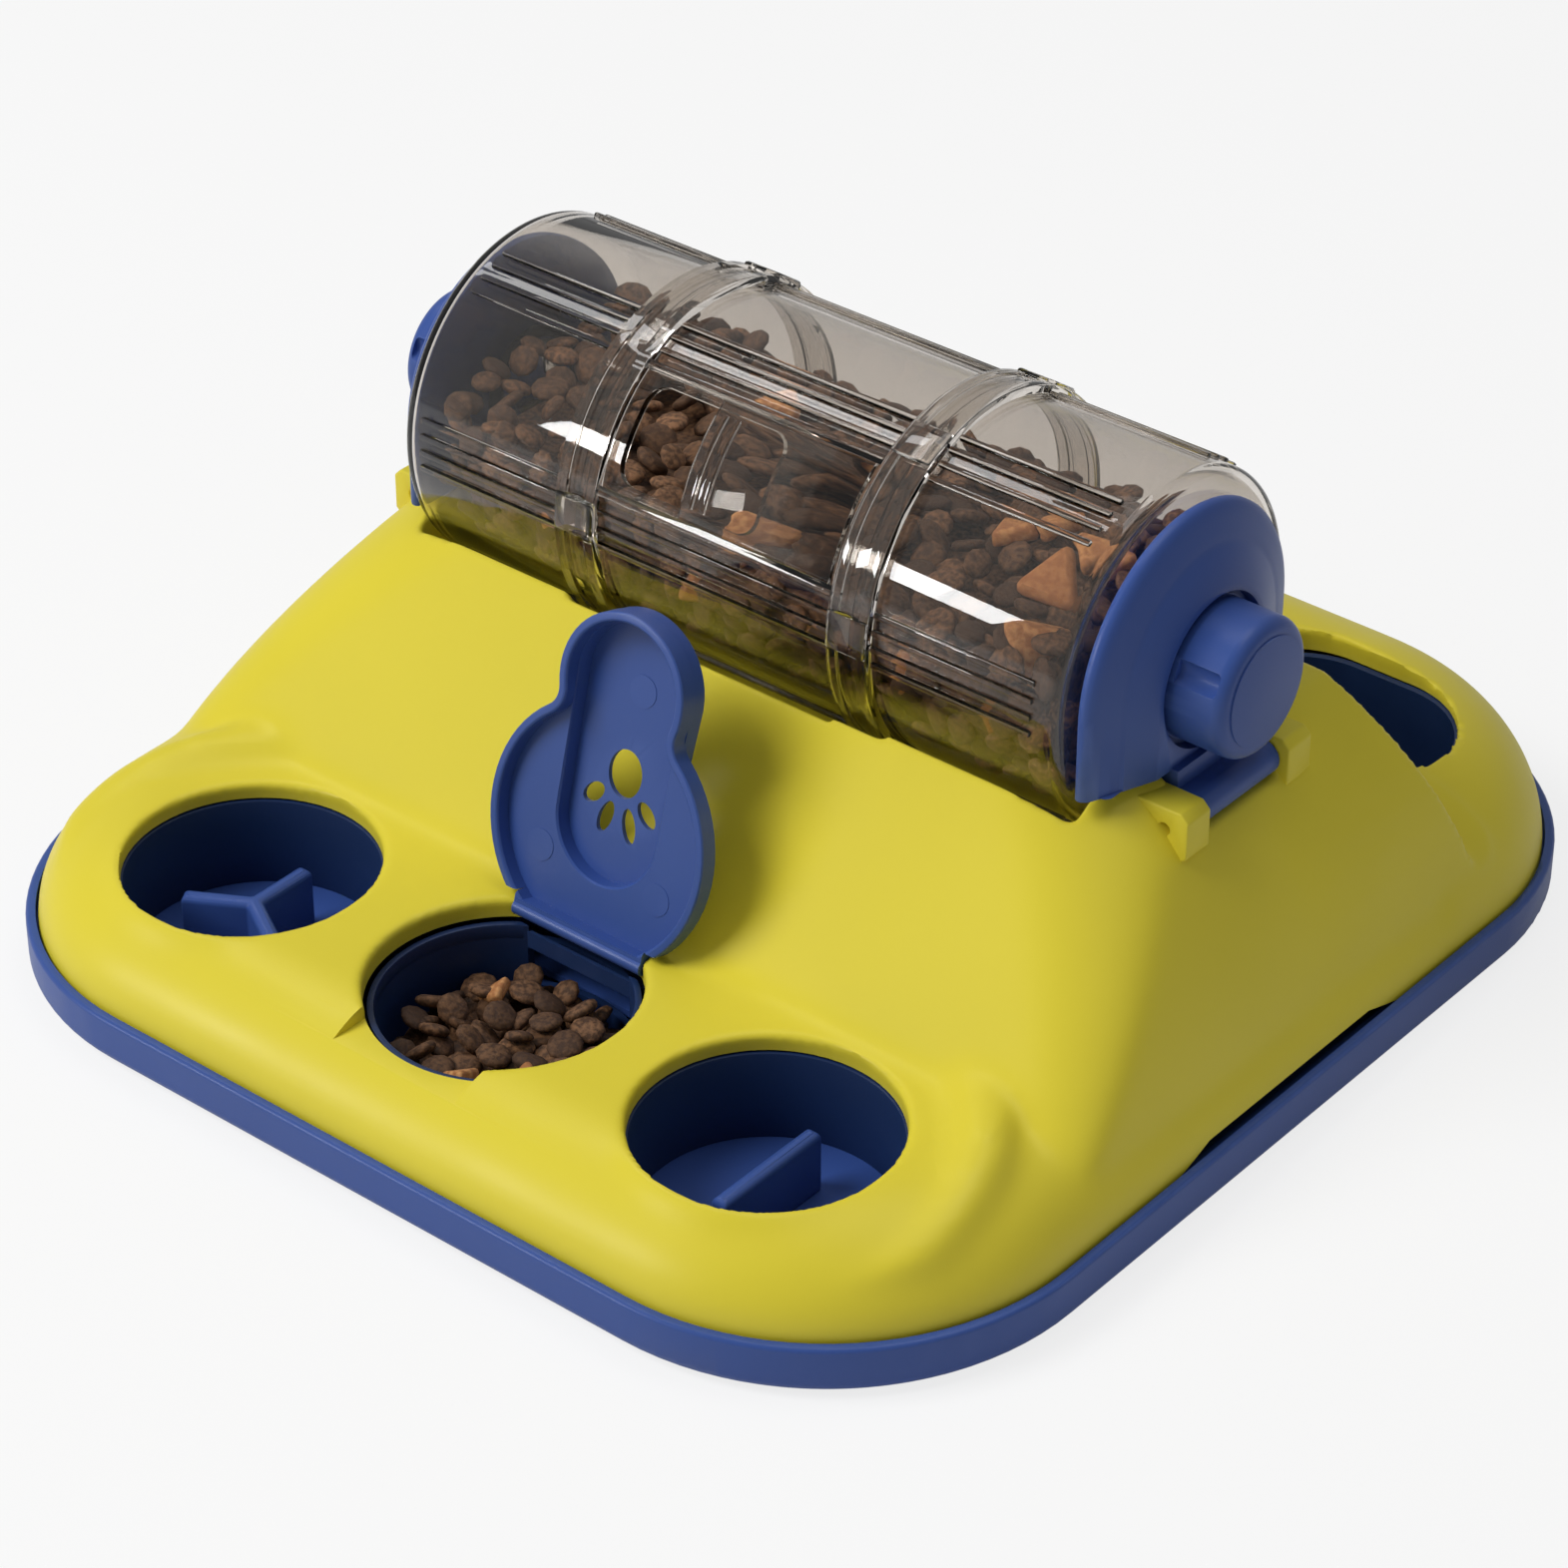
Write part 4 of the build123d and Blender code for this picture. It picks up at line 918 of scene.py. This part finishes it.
def baked(name, dark, light, speck, grain):
    """A dull, porous, baked crust whose tone differs from piece to piece."""
    material = bpy.data.materials.new(name)
    material.use_nodes = True
    tree = material.node_tree
    put, join = tree.nodes.new, tree.links.new
    shader = tree.nodes["Principled BSDF"]
    place = put("ShaderNodeTexCoord")
    shape = put("ShaderNodeNewGeometry")
    tone = put("ShaderNodeValToRGB")
    tone.color_ramp.elements[0].color = (*dark, 1)
    tone.color_ramp.elements[1].color = (*light, 1)
    crumbs = put("ShaderNodeTexNoise")
    crumbs.inputs["Scale"].default_value = grain
    crumbs.inputs["Detail"].default_value = 6.0
    pores = put("ShaderNodeMapRange")
    pores.inputs["From Min"].default_value = 0.40
    pores.inputs["From Max"].default_value = 0.62
    pores.inputs["To Min"].default_value = 0.85
    pores.inputs["To Max"].default_value = 0.0
    mix = put("ShaderNodeMix")
    mix.data_type = "RGBA"
    mix.inputs[7].default_value = (*speck, 1)
    bump = put("ShaderNodeBump")
    bump.inputs["Strength"].default_value = 0.7
    bump.inputs["Distance"].default_value = 0.0006
    rough = put("ShaderNodeMapRange")
    rough.inputs["To Min"].default_value = 0.62
    rough.inputs["To Max"].default_value = 0.90
    join(place.outputs["Object"], crumbs.inputs["Vector"])
    join(shape.outputs["Random Per Island"], tone.inputs["Fac"])
    join(crumbs.outputs["Fac"], pores.inputs["Value"])
    join(pores.outputs["Result"], mix.inputs["Factor"])
    join(tone.outputs["Color"], mix.inputs[6])
    join(mix.outputs[2], shader.inputs["Base Color"])
    join(crumbs.outputs["Fac"], rough.inputs["Value"])
    join(rough.outputs["Result"], shader.inputs["Roughness"])
    join(crumbs.outputs["Fac"], bump.inputs["Height"])
    join(bump.outputs["Normal"], shader.inputs["Normal"])
    return material


brown_crust = baked("brown_baked_crust", (0.060, 0.031, 0.017), (0.245, 0.125, 0.062),
                    (0.045, 0.022, 0.012), 700.0)
tan_crust = baked("tan_baked_crust", (0.42, 0.185, 0.070), (0.66, 0.34, 0.135), (0.34, 0.13, 0.045), 500.0)

disc_model, wedge_model = food_disc(), food_wedge()
for name, body, places in (("drum", "cover", drum_places()), ("cup", "tray", cup_places())):
    heap = join_pieces([scattered(disc_model, *given) for given in places], f"{name}_food_discs")
    select_only(heap)
    bpy.ops.object.shade_smooth()
    dress(heap, brown_crust, "dry_food", body)

# Wedges against the drum's wall, as (X, angle above the front, lean, size), then those in the cup.
wall_wedges = [(0.003, 15, 0.5, 1.0), (0.0895, 44, 0.3, 1.05), (0.088, 18, 0.7, 1.1),
               (0.057, -9, 0.4, 0.8), (0.0815, -12, 0.6, 0.95), (0.028, -11, 0.5, 1.0),
               (-0.011, -13, 0.4, 0.95), (-0.060, -20, 0.5, 0.9), (0.045, -175, 0.5, 1.0),
               (-0.050, -165, 0.4, 1.0), (-0.080, -70, 0.3, 1.0), (0.020, -90, 0.3, 1.0)]
wedges = []
for x, degrees_up, lean, size in wall_wedges:
    out = Vector((0, -cos(radians(degrees_up)), sin(radians(degrees_up))))
    facing = (out * cos(lean) + Vector((sin(lean), 0, 0))).normalized()
    reach = size * 1.1 * (wedge_radius * sin(lean) * 0.85 + wedge_half * cos(lean)) + 0.0008
    place = Vector((x, axle_y, axle_z)) + out * (food_reach - reach)
    wedges.append(scattered(wedge_model, place, facing, size))
for x, y in ((0.056, 0.016), (0.064, 0.024), (0.080, 0.018), (-0.030, 0.030)):
    place = Vector((x, y, heap_level(x, y) + 0.0035))
    wedges.append(scattered(wedge_model, place, tilted(Vector((0, 0, 1)), 0.5)[0], 0.8))
drum_wedges = join_pieces(wedges, "drum_food_wedges")
cup_wedges = [scattered(wedge_model, Vector(place), tilted(Vector((0, 0, 1)), 0.7)[0], size)
              for place, size in (((0.006, -0.136, 0.0225), 0.62), ((0.019, -0.128, 0.0225), 0.60),
                                  ((-0.012, -0.104, 0.0215), 0.55))]
cup_wedges = join_pieces(cup_wedges, "cup_food_wedges")
for heap, body in ((drum_wedges, "cover"), (cup_wedges, "tray")):
    select_only(heap)
    bpy.ops.object.shade_smooth()
    dress(heap, tan_crust, "dry_food", body)
for model in (disc_model, wedge_model):
    bpy.data.objects.remove(model)

core = axle_drum(0.0395, -0.0905, 0.0905, 64)
cut_away(core, [block(-beyond, beyond, -beyond, beyond, 0.1145, 0.3)])
core.name = "drum_food_core"
dress(core, brown_crust, "dry_food", "cover", "drum_food")
cup_core = upright_disc(0.0270, 0.0056, 0.0135, 0, middle_well_y)
cup_core.name = "cup_food_core"
dress(cup_core, brown_crust, "dry_food", "tray", "well_food")


# Lid.
# A blue moulded flap like a shallow pan, with a raised rim and a sunk finger channel that ends in vent
# holes. It hinges on a steel pin at the back of the middle opening and stands open against the hump.
lid_body, lid_body_radius, lid_lobe, lid_lobe_radius, lid_neck = 0.0280, 0.0342, 0.0664, 0.0196, 0.0060
lid_edge, lid_field, lid_channel, lid_wall, channel_end = -0.0016, 0.0026, 0.0068, 0.0013, 0.0298
lid_opened, ejector_radius = 106, 0.0042


def arc_points(middle, radius, first, last, steps):
    """Points along an arc, as (x, distance from the hinge), without the first one."""
    for step in range(1, steps + 1):
        angle = first + (last - first) * step / steps
        yield middle[0] + radius * cos(angle), middle[1] + radius * sin(angle)


def lid_ring(inset, z):
    """The shut lid's outline, drawn in by the inset: round body, hollow neck and finger lobe."""
    body, lobe, span = lid_body_radius + lid_neck, lid_lobe_radius + lid_neck, lid_lobe - lid_body
    neck_up = (span ** 2 + body ** 2 - lobe ** 2) / (2 * span)
    neck_out = (body ** 2 - neck_up ** 2) ** 0.5
    low, high = atan2(neck_up, neck_out), atan2(neck_up - span, neck_out)
    half = [(0.0, lid_body - lid_body_radius + inset)]
    half += arc_points((0, lid_body), lid_body_radius - inset, -pi / 2, low, 26)
    half += arc_points((neck_out, lid_body + neck_up), lid_neck + inset, low + pi, high + pi, 7)
    half += arc_points((0, lid_lobe), lid_lobe_radius - inset, high, pi / 2, 16)
    return [Vector((x, -u, z)) for x, u in half + [(-x, u) for x, u in half[-2:0:-1]]]


def channel_ring(front, back, z):
    """The finger channel's outline: two half rounds joined by straight sides."""
    lean = asin((front - back) / (lid_lobe - channel_end))
    ring = list(arc_points((0, lid_lobe), front, -lean - 0.05, pi + lean, 25))
    ring += arc_points((0, channel_end), back, pi + lean - 0.05, tau - lean, 25)
    return [Vector((x, -u, z)) for x, u in ring]


def vent(x, u, length, width, turn):
    """A cutter for one oval hole in the channel's floor."""
    bpy.ops.object.select_all(action="DESELECT")
    bpy.ops.mesh.primitive_cylinder_add(vertices=40, radius=1, depth=0.006, location=(x, -u, lid_channel),
                                        rotation=(0, 0, turn), scale=(width / 2, length / 2, 1))
    return settled(bpy.context.object)


lid = ringed_form([lid_ring(inset, z) for inset, z in (
    (0.0007, lid_edge), (0.0003, lid_edge + 0.0001), (0.0, lid_edge + 0.0005),
    (0.0, lid_field + lid_wall - 0.0004), (0.0004, lid_field + lid_wall))])
fuse(lid, ringed_form([channel_ring(0.0194 - inset, 0.0173 - inset, z) for inset, z in (
    (0.0, lid_field + 0.0004), (0.0, lid_channel + 0.0006), (0.0003, lid_channel + 0.0010),
    (0.0009, lid_channel + lid_wall))]))
pan = ringed_form([lid_ring(inset, z) for inset, z in (
    (0.0016, -0.0030), (0.0018, lid_edge), (0.0022, lid_edge + 0.0002), (0.0025, lid_edge + 0.0007),
    (0.0027, lid_field))])
cut_away(pan, [block(-0.05, 0.05, -0.0026, 0.05, -0.01, 0.01)])
channel = ringed_form([channel_ring(front, back, z) for front, back, z in (
    (0.0168, 0.0166, 0.0018), (0.0168, 0.0164, lid_field), (0.0166, 0.0159, lid_field + 0.0005),
    (0.0163, 0.0156, lid_channel))])
vents = [vent(0.0, 0.0426, 0.0128, 0.0106, 0.0)]
vents += [vent(side * 0.0086, 0.0346, 0.0076, 0.0046, side * radians(-47)) for side in (-1, 1)]
vents += [vent(side * 0.0038, 0.0298, 0.0092, 0.0042, side * radians(-17)) for side in (-1, 1)]
cut_away(lid, [pan, channel] + vents + [block(-0.05, 0.05, 0.0, 0.05, -0.01, 0.01)])
cut_away(lid, [block(side * 0.021, side * 0.05, -0.0045, 0.05, -0.01, 0.01) for side in (-1, 1)])
for x, u, level in ((-0.019, 0.017, lid_field), (0.019, 0.017, lid_field), (0.001, 0.0650, lid_channel)):
    fuse(lid, upright_disc(ejector_radius, level - 0.00015, level + 0.0004, x, -u, 40))
bpy.ops.object.select_all(action="DESELECT")
bpy.ops.mesh.primitive_cylinder_add(vertices=40, radius=0.0022, depth=0.042, rotation=(0, pi / 2, 0))
fuse(lid, settled(bpy.context.object))
select_only(lid)
bpy.ops.object.shade_smooth_by_angle(angle=radians(20))
lid.rotation_euler = (radians(-lid_opened), 0, 0)
lid.location = (0, lid_axis_y, lid_axis_z)
settled(lid).name = "flip_up_lid"
dress(lid, blue_plastic, "blue_plastic", "lid", "well_lid")


# End brackets.
# A blue moulded shell stands at each end of the drum: round over the top, straight below, and shallowly
# coned towards the knob's round recess. Its hinge foot turns on a pin between the cover's ears.
bracket_low, bracket_wall = 0.0907, 0.0026
arch_rise = [(0.1070, 0.0404), (0.1078, 0.0410), (0.1090, 0.0409), (0.1100, 0.0402), (0.1109, 0.0388),
             (0.1116, 0.0370), (0.1125, 0.0346), (0.1133, 0.0324), (0.1135, 0.0314), (0.1140, 0.0307),
             (0.1172, 0.0222), (0.1175, 0.0212)]
arch_hollow = [(0.1040, 0.0384), (0.1078, 0.0382), (0.1088, 0.0370), (0.1098, 0.0345), (0.1146, 0.0215)]


def arch_ring(side, x, radius, low, steps=56):
    """One outline of the bracket: a half round over the axle, and square below it."""
    ring = []
    for step in range(steps + 1):
        angle = pi * step / steps
        ring.append(Vector((side * x, axle_y + radius * cos(angle), axle_z + radius * sin(angle))))
    return ring + [Vector((side * x, axle_y - radius, low)), Vector((side * x, axle_y + radius, low))]


for word, side in (("left", -1), ("right", 1)):
    bracket = ringed_form([arch_ring(side, x, radius, bracket_low) for x, radius in arch_rise])
    hollow = ringed_form([arch_ring(side, x, radius, bracket_low + bracket_wall)
                          for x, radius in arch_hollow])
    cut_away(bracket, [hollow])
    fuse(bracket, axle_drum(0.0226, side * 0.1074, side * 0.1160, 96))
    cut_away(bracket, [axle_drum(0.0203, side * 0.1136, side * 0.13, 96)])
    ring_hollow = axle_drum(0.0203, side * 0.10, side * 0.1110, 96)
    cut_away(ring_hollow, [axle_drum(0.0080, side * 0.09, side * 0.12, 48)])
    cut_away(bracket, [ring_hollow, axle_drum(0.0056, side * 0.09, side * 0.14, 48)])
    foot = eased_copy(f"end_bracket_{word}", "bracket_foot", 0.0)
    cut_away(foot, [block(side * 0.09, side * 0.14, -beyond, beyond, bracket_low + 0.0004, 0.3)])
    fuse(bracket, foot)
    apply_modifier(bracket, "BEVEL", width=0.0004, segments=2, limit_method="ANGLE", angle_limit=radians(50))
    bpy.ops.object.shade_smooth_by_angle(angle=radians(32))
    bracket.name = f"drum_bracket_{word}"
    dress(bracket, blue_plastic, "blue_plastic", f"bracket_{word}", f"end_bracket_{word}")


# Lock knobs.
# A round blue knob sits in each bracket's recess, with finger grooves in its side, a broad soft edge and a
# flat raised face. Its spindle carries the drum.
knob_radius, knob_inner, knob_outer, face_radius = 0.0184, 0.1143, 0.1326, 0.0144
groove_radius, groove_reach, groove_start, groove_end = 0.0036, 0.0199, 0.1180, 0.1300
for word, side in (("left", -1), ("right", 1)):
    head = axle_drum(knob_radius, side * knob_inner, side * knob_outer, 128)
    round_edges(head, at_end(side * knob_outer), 0.0036, 8)
    for turn in (26, 146, 266):
        groove = axle_drum(groove_radius, side * groove_start, side * groove_end, 32)
        round_edges(groove, at_end(side * groove_end), 0.0012, 3)
        groove.location = (0, -groove_reach * cos(radians(turn)), groove_reach * sin(radians(turn)))
        cut_away(head, [settled(groove)])
    fuse(head, axle_drum(face_radius, side * groove_end, side * (knob_outer + 0.0004), 96))
    apply_modifier(head, "BEVEL", width=0.0007, segments=3, limit_method="ANGLE", angle_limit=radians(28))
    spindle = eased_copy(f"lock_knob_{word}", "knob_spindle", 0.0)
    cut_away(spindle, [axle_drum(0.03, side * 0.1150, side * 0.15, 64)])
    knob = join_pieces([head, spindle], f"grooved_knob_{word}")
    select_only(knob)
    bpy.ops.object.shade_smooth_by_angle(angle=radians(32))
    dress(knob, blue_plastic, "blue_plastic", f"knob_{word}", f"lock_knob_{word}")


# Rubber feet.
# Four dark rubber discs pressed into the tray's underside.
foot_rubber = moulded_plastic("foot_rubber", (0.022, 0.022, 0.025), (0.06, 0.06, 0.06),
                              mottle=0.2, rub=0.3, gloss=0.75, grain=0.5)
for number in range(1, 5):
    foot = eased_copy(f"rubber_foot_{number}", f"rubber_foot_pad_{number}", 0.0004)
    dress(foot, foot_rubber, "foot_rubber", "tray", f"rubber_foot_{number}")
